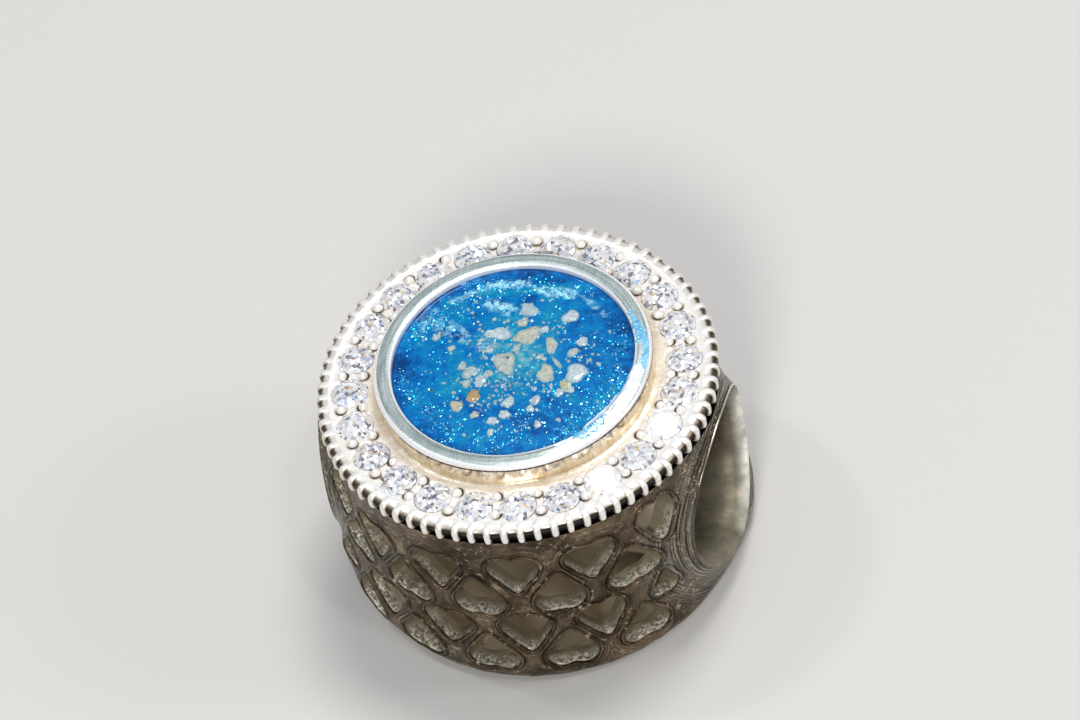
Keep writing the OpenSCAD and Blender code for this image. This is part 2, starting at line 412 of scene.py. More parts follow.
def mat_bore():
    m, nt, b = new_mat("polished_bore")
    co = coords(nt)
    big = noise_tex(nt, mapping(nt, co, (0.25, 1, 1)), 700, 3, 0.5)
    col = ramp(nt, big, [(0.3, (0.17, 0.145, 0.098)), (0.55, (0.23, 0.205, 0.150)), (0.75, (0.30, 0.28, 0.22))])
    mott = ramp(nt, noise_tex(nt, mapping(nt, co, (0.6, 1, 1)), 1700, 5, 0.62),
                [(0.34, (0.66, 0.66, 0.60)), (0.50, (1.0, 1.0, 1.0)), (0.62, (1.30, 1.28, 1.22)), (0.72, (1.75, 1.70, 1.60))])
    col = mixc(nt, 1.0, col, mott, "MULTIPLY")
    # painted highlight: a pale band on the far side of each mouth's flare
    col = mixc(nt, attr(nt, "edge"), col, mixc(nt, 1.0, (0.80, 0.79, 0.73), mott, "MULTIPLY"))
    link(nt, col, b.inputs["Base Color"])
    b.inputs["Metallic"].default_value = 0.5
    link(nt, ramp(nt, big, [(0.3, 0.46), (0.7, 0.60)]), b.inputs["Roughness"])
    n1 = bump(nt, noise_tex(nt, mapping(nt, co, (0.1, 1, 1)), 6000, 3), 0.12, 0.00002)
    link(nt, bump(nt, noise_tex(nt, co, 1500, 3), 0.2, 0.00006, n1), b.inputs["Normal"])
    return m


def mat_bright(name, light=(0.97, 0.96, 0.94), warm=(0.92, 0.85, 0.72), warmth=0.35, rough=(0.24, 0.38), metal=0.4):
    """Bright silver with warm tarnish in patches, and painted shade, brown to near black, in its hollows."""
    m, nt, b = new_mat(name)
    co = coords(nt)
    grain = noise_tex(nt, co, 7000, 4, 0.6)
    big = noise_tex(nt, co, 1500, 3, 0.55)
    cav, tan = attr(nt, "cav"), attr(nt, "tan")
    tone = ramp(nt, big, [(0.42, 0.0), (0.7, warmth)])
    col = mixc(nt, tone, light, warm)
    col = mixc(nt, tan, col, ramp(nt, big, [(0.35, (0.72, 0.58, 0.40)), (0.6, (0.90, 0.80, 0.64))]))
    # painted shade in the hollows: brown, then near black
    mid = mathn(nt, "MULTIPLY", cav, 1.6, clamp=True)
    col = mixc(nt, mid, col, (0.50, 0.40, 0.28))
    col = mixc(nt, ramp(nt, cav, [(0.45, 0.0), (0.90, 1.0)]), col, (0.010, 0.007, 0.006))
    link(nt, col, b.inputs["Base Color"])
    b.inputs["Metallic"].default_value = metal
    link(nt, ramp(nt, grain, [(0.3, rough[0]), (0.75, rough[1])]), b.inputs["Roughness"])
    link(nt, bump(nt, grain, 0.12, 0.00003), b.inputs["Normal"])
    return m


def mat_cup():
    """Turned silver: fine marks that run round the axis."""
    m, nt, b = new_mat("turned_silver")
    co = coords(nt)
    sep = N(nt, "ShaderNodeSeparateXYZ")
    link(nt, co, sep.inputs[0])
    x, y, z = sep.outputs
    r = mathn(nt, "SQRT", mathn(nt, "ADD", mathn(nt, "MULTIPLY", x, x), mathn(nt, "MULTIPLY", y, y)))
    cmb = N(nt, "ShaderNodeCombineXYZ")
    link(nt, r, cmb.inputs[0])
    link(nt, z, cmb.inputs[1])
    link(nt, mathn(nt, "MULTIPLY", mathn(nt, "ARCTAN2", y, x), 0.0002), cmb.inputs[2])
    turned = noise_tex(nt, cmb.outputs[0], 13000, 4, 0.65)
    broad = noise_tex(nt, co, 900, 3, 0.5)
    fine = noise_tex(nt, co, 15000, 3, 0.6)
    side = attr(nt, "cav")
    col = ramp(nt, broad, [(0.3, (0.60, 0.70, 0.69)), (0.7, (0.78, 0.86, 0.87))])
    brush = noise_tex(nt, mapping(nt, co, (1, 0.07, 1), (0, 0, 0.35)), 12000, 3, 0.6)
    marks = ramp(nt, mathn(nt, "ADD", mathn(nt, "MULTIPLY", turned, 0.72), mathn(nt, "MULTIPLY", brush, 0.28)),
                 [(0.38, (0.55, 0.61, 0.60)), (0.50, (0.85, 0.88, 0.88)), (0.60, (1.1, 1.1, 1.1))])
    col = mixc(nt, 1.0, col, marks, "MULTIPLY")
    streak = noise_tex(nt, mapping(nt, co, (1, 1, 0.06)), 4200, 4, 0.7)
    tan = ramp(nt, streak, [(0.3, (0.66, 0.53, 0.36)), (0.5, (0.84, 0.74, 0.58)), (0.68, (0.96, 0.92, 0.84))])
    # painted highlight: white on the top's outer rounding and on the inner wall above the resin; below, tan streaks on
    # the outer wall and a dark red-brown line
    col = mixc(nt, ramp(nt, side, [(0.20, 0.0), (0.5, 0.95), (0.62, 0.95), (0.8, 0.0)]), col, (0.98, 0.98, 0.98))
    col = mixc(nt, ramp(nt, side, [(0.6, 0.0), (0.95, 1.0)]), col, tan)
    col = mixc(nt, mathn(nt, "SUBTRACT", side, 1.0, clamp=True), col, (0.10, 0.035, 0.022))
    link(nt, col, b.inputs["Base Color"])
    link(nt, ramp(nt, side, [(0.0, 0.72), (0.2, 0.72), (0.5, 0.25), (0.7, 0.8), (1.0, 1.0)]), b.inputs["Metallic"])
    link(nt, ramp(nt, mathn(nt, "ADD", fine, mathn(nt, "MULTIPLY", side, -0.4)), [(0.0, 0.12), (0.3, 0.26), (0.75, 0.34)]), b.inputs["Roughness"])
    n1 = bump(nt, turned, 0.25, 0.000012)
    link(nt, bump(nt, brush, 0.2, 0.00001, n1), b.inputs["Normal"])
    return m


def mat_resin():
    """Blue pearl resin with glitter in bands and pale ash sunk in it, under a clear, glossy face; pale cyan streaks and
    a paler band near the far edge are painted reflections, and its darker rim is painted shade.
    """
    m, nt, b = new_mat("blue_resin")
    co = coords(nt)
    warp = noise_tex(nt, co, 500, 3, 0.5)
    depth, glit, haze = attr(nt, "blue"), attr(nt, "glit"), attr(nt, "haze")
    cloud = noise_tex(nt, co, 900, 5, 0.66, 0.8)
    mist = noise_tex(nt, co, 3600, 4, 0.7)
    # the blue attribute brings the resin's own pale and deep places, a painted highlight band near the far edge and
    # painted shade at the rim
    t = mathn(nt, "ADD", mathn(nt, "MULTIPLY", depth, 0.75), mathn(nt, "MULTIPLY", mathn(nt, "SUBTRACT", cloud, 0.37), 1.35))
    t = mathn(nt, "ADD", t, mathn(nt, "MULTIPLY", mathn(nt, "SUBTRACT", mist, 0.5), 0.95))
    col = ramp(nt, t, [(0.12, (0.0, 0.040, 0.17)), (0.32, (0.0, 0.092, 0.33)), (0.50, (0.0, 0.155, 0.45)),
                       (0.68, (0.002, 0.205, 0.42)), (0.84, (0.020, 0.275, 0.44)), (1.0, (0.10, 0.42, 0.55))])
    # sunken fragments
    sub = ramp(nt, voronoi(nt, mapping(nt, co, (1, 1, 0.3)), 4200), [(0.22, 1.0), (0.46, 0.0)])
    sub = mathn(nt, "MULTIPLY", sub, ramp(nt, mathn(nt, "MULTIPLY", haze, noise_tex(nt, co, 1900, 3, 0.6)), [(0.26, 0.0), (0.52, 0.75)]))
    col = mixc(nt, sub, col, (0.20, 0.37, 0.40))
    # painted reflections: pale cyan streaks where flash is marked
    flash = mathn(nt, "MULTIPLY", attr(nt, "flash"), mathn(nt, "ADD", mathn(nt, "MULTIPLY", noise_tex(nt, co, 5200, 3, 0.6), 3.4), -1.1))
    col = mixc(nt, ramp(nt, flash, [(0.18, 0.0), (0.75, 0.85)]), col, (0.40, 0.80, 0.90))
    cell = voronoi(nt, co, 12500, "Distance")
    rnd = voronoi(nt, co, 12500, "Color")
    sepc = N(nt, "ShaderNodeSeparateColor")
    link(nt, rnd, sepc.inputs[0])
    dot = ramp(nt, cell, [(0.25, 1.0), (0.45, 0.0)])
    clump = noise_tex(nt, co, 2400, 3, 0.6)
    pick = mathn(nt, "ADD", mathn(nt, "MULTIPLY", sepc.outputs[0], 0.6), mathn(nt, "MULTIPLY", mathn(nt, "MULTIPLY", glit, clump), 1.2))
    pick = ramp(nt, pick, [(0.72, 0.0), (0.88, 1.0)])
    spark = mathn(nt, "MULTIPLY", dot, pick)
    shade = mixc(nt, sepc.outputs[1], (0.0, 0.32, 0.62), (0.30, 0.78, 0.92))
    col = mixc(nt, mathn(nt, "MULTIPLY", spark, 0.9), col, shade)
    link(nt, col, b.inputs["Base Color"])
    link(nt, mathn(nt, "MULTIPLY", spark, 0.5), b.inputs["Metallic"])
    b.inputs["Roughness"].default_value = 0.36
    b.inputs["Specular IOR Level"].default_value = 0.1
    b.inputs["Coat Weight"].default_value = 0.5
    b.inputs["Coat Roughness"].default_value = 0.04
    b.inputs["Coat IOR"].default_value = 1.34
    n1 = bump(nt, warp, 0.1, 0.00005)
    n2 = bump(nt, rnd, 0.35, 0.00002, n1)
    link(nt, n2, b.inputs["Normal"])
    return m


def mat_flake():
    m, nt, b = new_mat("glitter_flakes")
    t = attr(nt, "tint")
    col = ramp(nt, t, [(0.0, (0.0, 0.26, 0.60)), (0.5, (0.02, 0.50, 0.80)), (0.80, (0.25, 0.78, 0.92)), (1.0, (0.80, 0.98, 1.0))])
    link(nt, col, b.inputs["Base Color"])
    b.inputs["Metallic"].default_value = 0.85
    b.inputs["Roughness"].default_value = 0.3
    return m


def mat_ash():
    """Ash fragments: cream to grey, porous, wetted by the resin."""
    m, nt, b = new_mat("ash")
    co = coords(nt)
    t = attr(nt, "tint")
    base = ramp(nt, t, [(0.0, (0.03, 0.025, 0.02)), (0.08, (0.26, 0.24, 0.20)), (0.2, (0.58, 0.29, 0.04)), (0.3, (0.62, 0.46, 0.20)), (0.42, (0.64, 0.58, 0.36)),
                        (0.62, (0.62, 0.63, 0.54)), (0.8, (0.50, 0.60, 0.64)), (1.0, (0.68, 0.78, 0.84))])
    g = noise_tex(nt, co, 9000, 6, 0.7)
    col = mixc(nt, ramp(nt, g, [(0.34, 0.6), (0.60, 0.0)]), base, (0.30, 0.30, 0.26), "MULTIPLY")
    pits = ramp(nt, voronoi(nt, co, 14000), [(0.1, 1.0), (0.28, 0.0)])
    col = mixc(nt, mathn(nt, "MULTIPLY", pits, 0.35), col, (0.12, 0.16, 0.14))
    col = mixc(nt, attr(nt, "wet"), col, (0.04, 0.27, 0.38))
    link(nt, col, b.inputs["Base Color"])
    b.inputs["Roughness"].default_value = 0.55
    b.inputs["Coat Weight"].default_value = 0.7
    b.inputs["Coat Roughness"].default_value = 0.08
    n1 = bump(nt, g, 0.7, 0.00006)
    link(nt, n1, b.inputs["Normal"])
    return m


def mat_smear():
    """Thin film of resin that ran over the cup's top: milky with glitter."""
    m, nt, b = new_mat("resin_film")
    co = coords(nt)
    g = noise_tex(nt, co, 2600, 5, 0.65)
    t = attr(nt, "tint")
    col = ramp(nt, mathn(nt, "ADD", mathn(nt, "MULTIPLY", t, 0.8), mathn(nt, "MULTIPLY", mathn(nt, "SUBTRACT", g, 0.35), 0.9)),
               [(0.1, (0.86, 0.88, 0.95)), (0.34, (0.62, 0.76, 0.90)), (0.55, (0.22, 0.56, 0.80)), (0.8, (0.01, 0.32, 0.62))])
    spk = ramp(nt, voronoi(nt, co, 14000), [(0.20, 1.0), (0.36, 0.0)])
    col = mixc(nt, mathn(nt, "MULTIPLY", spk, 0.75), col, (0.80, 0.98, 1.0))
    link(nt, col, b.inputs["Base Color"])
    b.inputs["Roughness"].default_value = 0.3
    b.inputs["Coat Weight"].default_value = 1.0
    b.inputs["Coat Roughness"].default_value = 0.06
    link(nt, bump(nt, voronoi(nt, co, 17000, "Color"), 0.4, 0.00002, bump(nt, g, 0.5, 0.00006)), b.inputs["Normal"])
    return m


def mat_stone():
    """Clear brilliant: small bright reflections painted into its base colour in cells of white, grey and blue-grey,
    with a few painted blue and orange glints, and its normal broken up by the same cells; marked stones get a painted
    white table.
    """
    m, nt, b = new_mat("clear_stone")
    co = coords(nt)
    cell = voronoi(nt, co, 10000, "Color")
    sep = N(nt, "ShaderNodeSeparateColor")
    link(nt, cell, sep.inputs[0])
    # painted reflections: cells of white, grey and blue-grey
    col = ramp(nt, sep.outputs[0], [(0.0, (0.30, 0.30, 0.36)), (0.09, (0.50, 0.52, 0.62)), (0.20, (0.70, 0.73, 0.84)),
                                    (0.34, (0.92, 0.93, 0.99)), (0.46, (1.0, 1.0, 1.0))], "CONSTANT")
    # painted fire: a few cells tinted blue or orange
    fire = ramp(nt, sep.outputs[1], [(0.0, (1.0, 1.0, 1.0)), (0.90, (0.62, 0.76, 1.0)), (0.945, (1.0, 0.80, 0.55))], "CONSTANT")
    col = mixc(nt, 1.0, col, fire, "MULTIPLY")
    # painted highlight: the marked stones turn white
    col = mixc(nt, attr(nt, "cav"), col, (1.0, 1.0, 1.0))
    link(nt, col, b.inputs["Base Color"])
    blown = attr(nt, "cav")
    link(nt, mathn(nt, "MULTIPLY", mathn(nt, "SUBTRACT", 1.0, blown), 0.28), b.inputs["Metallic"])
    link(nt, mathn(nt, "ADD", mathn(nt, "MULTIPLY", blown, 0.5), 0.07), b.inputs["Roughness"])
    b.inputs["Transmission Weight"].default_value = 0.05
    b.inputs["IOR"].default_value = 2.0
    off = N(nt, "ShaderNodeVectorMath", operation="SUBTRACT")
    link(nt, cell, off.inputs[0])
    off.inputs[1].default_value = (0.5, 0.5, 0.5)
    sc = N(nt, "ShaderNodeVectorMath", operation="SCALE")
    link(nt, off.outputs[0], sc.inputs[0])
    link(nt, mathn(nt, "MULTIPLY", mathn(nt, "SUBTRACT", 1.0, blown), 0.75), sc.inputs["Scale"])
    add = N(nt, "ShaderNodeVectorMath", operation="ADD")
    link(nt, N(nt, "ShaderNodeNewGeometry").outputs["Normal"], add.inputs[0])
    link(nt, sc.outputs[0], add.inputs[1])
    nrm = N(nt, "ShaderNodeVectorMath", operation="NORMALIZE")
    link(nt, add.outputs[0], nrm.inputs[0])
    link(nt, nrm.outputs[0], b.inputs["Normal"])
    return m


WALL, INSIDE, BORE, GAP, CUT = mat_wall(), mat_inside(), mat_bore(), mat_gap(), mat_cut()
TOOTH = mat_bright("tooth_silver", light=(0.93, 0.92, 0.90))
LIPM = mat_bright("polished_lip", metal=0.8, rough=(0.2, 0.3))
PAVE = mat_bright("pave_silver", light=(0.91, 0.895, 0.875), warm=(0.88, 0.80, 0.68), warmth=0.5, rough=(0.2, 0.34), metal=0.22)
CUP = mat_cup()
RESIN, FLAKE, ASH, SMEAR, STONE = mat_resin(), mat_flake(), mat_ash(), mat_smear(), mat_stone()


# ---------------------------------------------------------------- hearts
def heart_outline(size, n=56):
    """Closed outline of a heart, point down, evenly spaced, its notch and tip softened."""
    w, h = HEART_W * size, HEART_H * size
    lobe, tip = w * 0.297, 0.11 * size
    cx, cy, ty = w / 2 - lobe, h / 2 - lobe, -h / 2 + tip
    d = math.hypot(cx, cy - ty)
    nn = math.degrees(math.atan2(cy - ty, cx)) - math.degrees(math.acos((tip - lobe) / d))
    a0 = math.degrees(math.acos(-cx / lobe))
    right = arc(cx, cy, lobe, a0, nn, 60)
    tipr = arc(0, ty, tip, nn, -90, 12)
    half = np.vstack([right, tipr])
    P = np.vstack([half, (half * [-1, 1])[::-1][1:-1]])
    seg = np.linalg.norm(np.roll(P, -1, 0) - P, axis=1)
    s = np.r_[0, np.cumsum(seg)]
    Q = np.vstack([P, P[:1]])
    t = np.linspace(0, s[-1], n * 3 + 1)[:-1]
    P = np.c_[np.interp(t, s, Q[:, 0]), np.interp(t, s, Q[:, 1])]
    for _ in range(16):
        P = 0.25 * np.roll(P, 1, 0) + 0.5 * P + 0.25 * np.roll(P, -1, 0)
    return P[::3]


def u_of(theta):
    return theta * WALL_R


def v_of(z):
    z = np.asarray(z, float)
    return np.where(z >= FOOT_Z, z, FOOT_Z - FOOT * np.arcsin(np.clip((FOOT_Z - z) / FOOT, 0, 1)))


def r_of(z):
    z = np.asarray(z, float)
    return np.where(z >= FOOT_Z, WALL_R, WALL_R - FOOT + np.sqrt(np.clip(FOOT**2 - (FOOT_Z - z)**2, 0, None)))


def r_in_of(z):
    z = np.asarray(z, float)
    return np.where(z >= IN_FOOT_Z, HOLLOW_R,
                    HOLLOW_R - IN_FOOT + np.sqrt(np.clip(IN_FOOT**2 - (IN_FOOT_Z - z)**2, 0, None)))


def v_in_of(z):
    z = np.asarray(z, float)
    return np.where(z >= IN_FOOT_Z, z, IN_FOOT_Z - IN_FOOT * np.arcsin(np.clip((IN_FOOT_Z - z) / IN_FOOT, 0, 1)))


LIP_ROUND = 0.035
FLARE_D, FLARE_L, FLARE_R = 1.05, 1.1, 0.25   # how far a mouth's flare reaches, and more below on the left and right
EDGE_R = LIP_R - 0.015


def x_lip(y):
    """Where the mouth's edge stands: it follows the drum a little on both sides."""
    return 6.12 - 0.35 * (np.asarray(y, float) / 2.57) ** 2


def ease(t):
    t = np.clip(t, 0, 1)
    return t * t * (3 - 2 * t)


def surf(u, v, h=0.0):
    """Outer surface of the drum with the flared mouths; h stands out along the normal."""
    u, v, h = np.broadcast_arrays(np.asarray(u, float), np.asarray(v, float), np.asarray(h, float))
    th = u / WALL_R
    beta = np.clip((FOOT_Z - v) / FOOT, 0, np.pi / 2)
    r = np.where(v >= FOOT_Z, WALL_R + h, WALL_R - FOOT + (FOOT + h) * np.cos(beta))
    z = np.where(v >= FOOT_Z, v, FOOT_Z - (FOOT + h) * np.sin(beta))
    x, y = r * np.sin(th), -r * np.cos(th)
    rho = np.hypot(y, z)
    d = np.clip(rho - EDGE_R, 0, None)
    ye = y * EDGE_R / np.maximum(rho, 1e-6)
    g = x_lip(ye) - LIP_ROUND - np.sqrt(np.maximum(WALL_R**2 - ye**2, 0))
    reach = FLARE_D + np.where(x < 0, FLARE_L, FLARE_R) * np.clip(-z / 2.5, 0, 1)
    f = np.clip(1 - d / reach, 0, 1) ** 2.3
    x = x + np.sign(x) * np.where(np.abs(x) > 3, g * f, 0)
    # the wall swells a little low on the left
    deg = np.degrees(th)
    swell = 0.33 * ease((-deg - 25) / 43) * ease((0.8 - z) / 3.3) * ease(d / 0.7) * ease((90 + deg) / 20)
    x, y = x + swell * np.sin(th), y - swell * np.cos(th)
    return np.stack([x, y, z], -1)


hearts = []
for deg_, depth, way, fw, fh in HEARTS:
    P = heart_outline(1.0) * [fw, fh * way]
    if way < 0:
        P = P[::-1]
    tn = 0.03 * rng.standard_normal()
    P = P @ np.array([[math.cos(tn), math.sin(tn)], [-math.sin(tn), math.cos(tn)]])
    P = P * (1 + 0.012 * rng.standard_normal(2)) + 0.008 * rng.standard_normal(2)
    rad = P / np.linalg.norm(P, axis=1, keepdims=True)
    wv = fract_noise(np.c_[P * 1.0, np.full(len(P), 7.3 * len(hearts))], 1.9, 2, 3.0)
    P = P + rad * (0.035 * wv)[:, None]
    hearts.append({"ang": math.radians(deg_), "z": RIM - depth, "P": P})


def on_wall(hh, P):
    """(u, v) on the outer surface of a heart's own flat points."""
    z = hh["z"] + P[:, 1]
    return np.c_[u_of(hh["ang"] + np.arcsin(np.clip(P[:, 0] / r_of(z), -1, 1))), v_of(z)]


V_BOTTOM = FOOT_Z - FOOT * math.pi / 2
V_TOP = RIM - 0.68
U_END = WALL_R * math.pi / 2

# edge of a mouth on the outer surface, from the bottom up, for the right end (x > 0)
phi = np.radians(np.linspace(-90, 90, 61))
my, mz = -EDGE_R * np.cos(phi), EDGE_R * np.sin(phi)
mth = np.arccos(np.clip(-my / r_of(mz), -1, 1))
mouth_uv = np.c_[u_of(mth), v_of(mz)]
mouth_uv[0, 0] = mouth_uv[-1, 0] = U_END

outs = []
for hh in hearts:
    uv = on_wall(hh, hh["P"])
    t = np.roll(uv, -1, 0) - np.roll(uv, 1, 0)
    t /= np.linalg.norm(t, axis=1, keepdims=True)
    n = np.c_[t[:, 1], -t[:, 0]]
    if ((uv - uv.mean(0)) * n).sum() < 0:
        n = -n
    hh["uv"], hh["n"] = uv, n
    outs.append(uv)
obst = np.vstack(outs + [mouth_uv, mouth_uv * [-1, 1]]
                 + [np.c_[np.linspace(-U_END, U_END, 400), np.full(400, V_TOP)]]
                 + [np.c_[np.linspace(-U_END, U_END, 400), np.full(400, V_BOTTOM)]])
MAXO = 0.19
for hh in hearts:
    d = obst[None] - hh["uv"][:, None]
    dn = (d * hh["n"][:, None]).sum(2)
    rr = (d**2).sum(2) / np.maximum(2 * dn, 1e-9)
    rr[dn < 1e-4] = 9
    m = np.minimum(MAXO, 0.86 * rr.min(1))
    for _ in range(2):
        m = np.minimum(m, 0.25 * np.roll(m, 1) + 0.5 * m + 0.25 * np.roll(m, -1))
    m = np.maximum(m, 0.012)
    hh["m"] = m
    hh["ring"] = hh["uv"] + hh["n"] * m[:, None]


def inside(P, poly):
    x, y = P[:, 0][:, None], P[:, 1][:, None]
    a, b = poly, np.roll(poly, -1, 0)
    c = (a[:, 1] > y) != (b[:, 1] > y)
    with np.errstate(divide="ignore", invalid="ignore"):
        xx = (b[:, 0] - a[:, 0]) * (y - a[:, 1]) / (b[:, 1] - a[:, 1]) + a[:, 0]
    return ((c & (x < xx)).sum(1) % 2) == 1


def fill(boundary, holes, step, clear):
    """Triangles of a flat region with holes; returns points (boundary, holes, then inner points) and faces."""
    pts = [boundary] + list(holes)
    edges, base = [], 0
    for p in pts:
        k = len(p)
        edges += [(base + i, base + (i + 1) % k) for i in range(k)]
        base += k
    rim = np.vstack(pts)
    lo, hi = boundary.min(0), boundary.max(0)
    gx, gy = np.meshgrid(np.arange(lo[0], hi[0], step), np.arange(lo[1], hi[1], step * 0.87))
    gx[::2] += step / 2
    G = np.c_[gx.ravel(), gy.ravel()]
    G += rng.uniform(-0.12, 0.12, G.shape) * step
    G = G[inside(G, boundary)]
    for h in holes:
        b0, b1 = h.min(0) - 0.01, h.max(0) + 0.01
        near = (G > b0).all(1) & (G < b1).all(1)
        drop = np.zeros(len(G), bool)
        drop[near] = inside(G[near], h)
        G = G[~drop]
    keep = np.ones(len(G), bool)
    for k in range(0, len(G), 2000):
        d = ((G[k:k + 2000, None] - rim[None]) ** 2).sum(2).min(1)
        keep[k:k + 2000] = d > clear**2
    G = G[keep]
    allp = np.vstack([rim, G])
    res = delaunay_2d_cdt([Vector(p) for p in allp], edges, [], 0, 1e-7)
    Q = np.array([(p.x, p.y) for p in res[0]])
    orig = res[3]
    back = np.full(len(Q), -1)
    for i, o in enumerate(orig):
        if o:
            back[i] = o[0]
    T = np.array([f for f in res[2] if len(f) == 3])
    C = Q[T].mean(1)
    ok = inside(C, boundary)
    for h in holes:
        b0, b1 = h.min(0), h.max(0)
        near = ok & (C > b0).all(1) & (C < b1).all(1)
        idx = np.where(near)[0]
        ok[idx[inside(C[idx], h)]] = False
    T = T[ok]
    A = Q[T]
    area = np.cross(A[:, 1] - A[:, 0], A[:, 2] - A[:, 0])
    T = T[np.abs(area) > 1e-9]
    area = area[np.abs(area) > 1e-9]
    T[area < 0] = T[area < 0][:, ::-1]
    return Q, T


# ---------------------------------------------------------------- cast drum
body = Bag("cav", "lip", "edge", "md")
nb = 91
us = np.linspace(-U_END, U_END, nb)
ths = us / WALL_R
vr_lo = np.linspace(V_BOTTOM, mouth_uv[0, 1], 14)[1:-1]
vr_hi = np.linspace(mouth_uv[-1, 1], V_TOP, 6)[1:-1]
right = np.vstack([np.c_[np.full(len(vr_lo), U_END), vr_lo], mouth_uv, np.c_[np.full(len(vr_hi), U_END), vr_hi]])
left = (right * [-1, 1])[::-1]
bottom = np.c_[us, np.full(nb, V_BOTTOM)]
top = np.c_[us[::-1], np.full(nb, V_TOP)]
boundary = np.vstack([bottom, right, top, left])
Q, T = fill(boundary, [hh["ring"] for hh in hearts], 0.17, 0.075)
alluv = np.vstack([hh["uv"] for hh in hearts] + [mouth_uv, mouth_uv * [-1, 1]])
ed = np.empty(len(Q))
for k in range(0, len(Q), 1500):
    ed[k:k + 1500] = np.sqrt(((Q[k:k + 1500, None] - alluv[None]) ** 2).sum(2).min(1))
P3 = surf(Q[:, 0], Q[:, 1])


def mouth_dist(uv):
    pair = np.vstack([mouth_uv, mouth_uv * [-1, 1]])
    out = np.empty(len(uv))
    for k in range(0, len(uv), 4000):
        out[k:k + 4000] = np.sqrt(((uv[k:k + 4000, None] - pair[None]) ** 2).sum(2).min(1))
    return out


rough = fract_noise(P3, 2.6, 3, 1.0)
grit = fract_noise(P3, 7.0, 2, 5.0)
atb = (np.abs(np.abs(Q[:, 0]) - U_END) < 1e-6) | (np.abs(Q[:, 1] - V_TOP) < 1e-6) | (np.abs(Q[:, 1] - V_BOTTOM) < 1e-6)
on_mouth = np.zeros(len(Q), bool)
for s in (1, -1):
    dd = np.sqrt(((Q[:, None] - (mouth_uv * [s, 1])[None]) ** 2).sum(2).min(1))
    on_mouth |= dd < 1e-5
ringset = np.vstack([hh["ring"] for hh in hearts])
on_ring = np.zeros(len(Q), bool)
for k in range(0, len(Q), 1500):
    on_ring[k:k + 1500] = np.sqrt(((Q[k:k + 1500, None] - ringset[None]) ** 2).sum(2).min(1)) < 1e-5
foot_fade = np.clip((Q[:, 1] - V_BOTTOM) / 0.5, 0, 1)
hgt = (0.016 * rough + 0.008 * grit) * foot_fade
hgt[atb | on_mouth | on_ring] = 0
P3 = surf(Q[:, 0], Q[:, 1], hgt)
# painted shade in the low spots of the wall's relief
cavv = np.clip(0.25 - 0.8 * (0.016 * rough + 0.008 * grit) / 0.016, 0, 1) * 0.5
half_parts = []


def both(V, F, mat=0, **vals):
    """Adds a part of the front half and its copy turned to the back."""
    V = np.asarray(V, float)
    body.add(V, F, mat, **vals)
    body.add(V * [-1, -1, 1], F, mat, **vals)


both(P3, [tuple(t) for t in T], 0, cav=cavv, lip=0.0, edge=ed, md=mouth_dist(Q))

# lips, cut walls
ring_t = np.array([1.0, 0.82, 0.62, 0.42, 0.26, 0.12, 0.0])
ring_h = np.array([0.0, -0.022, 0.004, 0.026, 0.022, -0.004, -0.05])
# painted shade along each window: darkest in the groove and at the very edge of the hole
ring_c = np.array([0.25, 0.85, 0.25, 0.0, 0.05, 0.35, 0.6])
depth_t = np.array([0.06, 0.16, 0.3, 0.48, 0.7, 1.0])
for k, hh in enumerate(hearts):
    n = len(hh["P"])
    rows, cav, lip, edge, md = [], [], [], [], []
    # low: how far the outline faces down, so that the cut face below it faces up; lip carries it as painted light on
    # the cut faces
    low = np.clip(-(hh["n"][:, 1]), 0, 1)
    wob = 1 + 0.25 * fract_noise(np.c_[hh["uv"] * 1.3, np.full(n, k * 3.1)], 1.6, 2, 2.0)
    for t, hh_, c in zip(ring_t, ring_h, ring_c):
        uv = hh["uv"] + hh["n"] * (hh["m"] * t)[:, None]
        s = np.minimum(1, hh["m"] / MAXO * 1.15)
        rows.append(surf(uv[:, 0], uv[:, 1], hh_ * s * (wob if 0 < t < 1 else 1) if t > 0 else np.full(n, hh_ * 0.8)))
        cav.append(np.full(n, c))
        lip.append(np.clip(0.12 + 0.98 * low, 0, 1) if t == 0 else np.full(n, 0.0))
        edge.append(hh["m"] * t)
        md.append(mouth_dist(uv))
    zi = np.maximum(hh["z"] + hh["P"][:, 1] * 0.96, PLATE_Z + 0.1)
    ri = r_in_of(zi)
    thi = hh["ang"] + np.arcsin(np.clip(hh["P"][:, 0] * 0.96 / ri, -1, 1))
    Pin = np.c_[ri * np.sin(thi), -ri * np.cos(thi), zi]
    P0 = rows[-1]
    mid = np.array([math.sin(hh["ang"]), -math.cos(hh["ang"]), 0])
    for t in depth_t:
        R0 = P0 * (1 - t) + Pin * t
        if t < 1:
            jit = fract_noise(R0, 6.5, 3, 9.0 + k)
            c2 = np.array([*(mid * 5.5)[:2], hh["z"]])
            inward = c2 - R0
            inward -= np.outer(inward @ mid, mid)
            inward /= np.maximum(np.linalg.norm(inward, axis=1, keepdims=True), 1e-6)
            R0 = R0 + inward * (0.028 * jit)[:, None]
        rows.append(R0)
        cav.append(np.full(n, 0.1 + 0.1 * t))
        lip.append(np.clip(0.12 + 0.98 * low, 0, 1) * (1.0 - 0.8 * t))
        edge.append(np.full(n, 0.0))
        md.append(np.full(n, 9.0))
    hh["zi"], hh["thi"], hh["ri"] = zi, thi, ri
    Vr = np.vstack(rows)
    m = len(rows)
    F = []
    for i in range(m - 1):
        for j in range(n):
            j2 = (j + 1) % n
            F.append((i * n + j, i * n + j2, (i + 1) * n + j2, (i + 1) * n + j))
    a = np.vstack(rows[:2])
    # outward side: rings are listed from outside in, and outlines run one way
    q = [Vr[i] for i in F[0]]
    nrm = np.cross(q[1] - q[0], q[2] - q[0])
    if np.dot(nrm, mid) < 0:
        F = [f[::-1] for f in F]
    mk = [0 if k2 < (len(ring_t) - 1) * n else 3 for k2 in range(len(F))]
    both(Vr, F, mk, cav=np.concatenate(cav), lip=np.concatenate(lip), edge=np.concatenate(edge), md=np.concatenate(md))

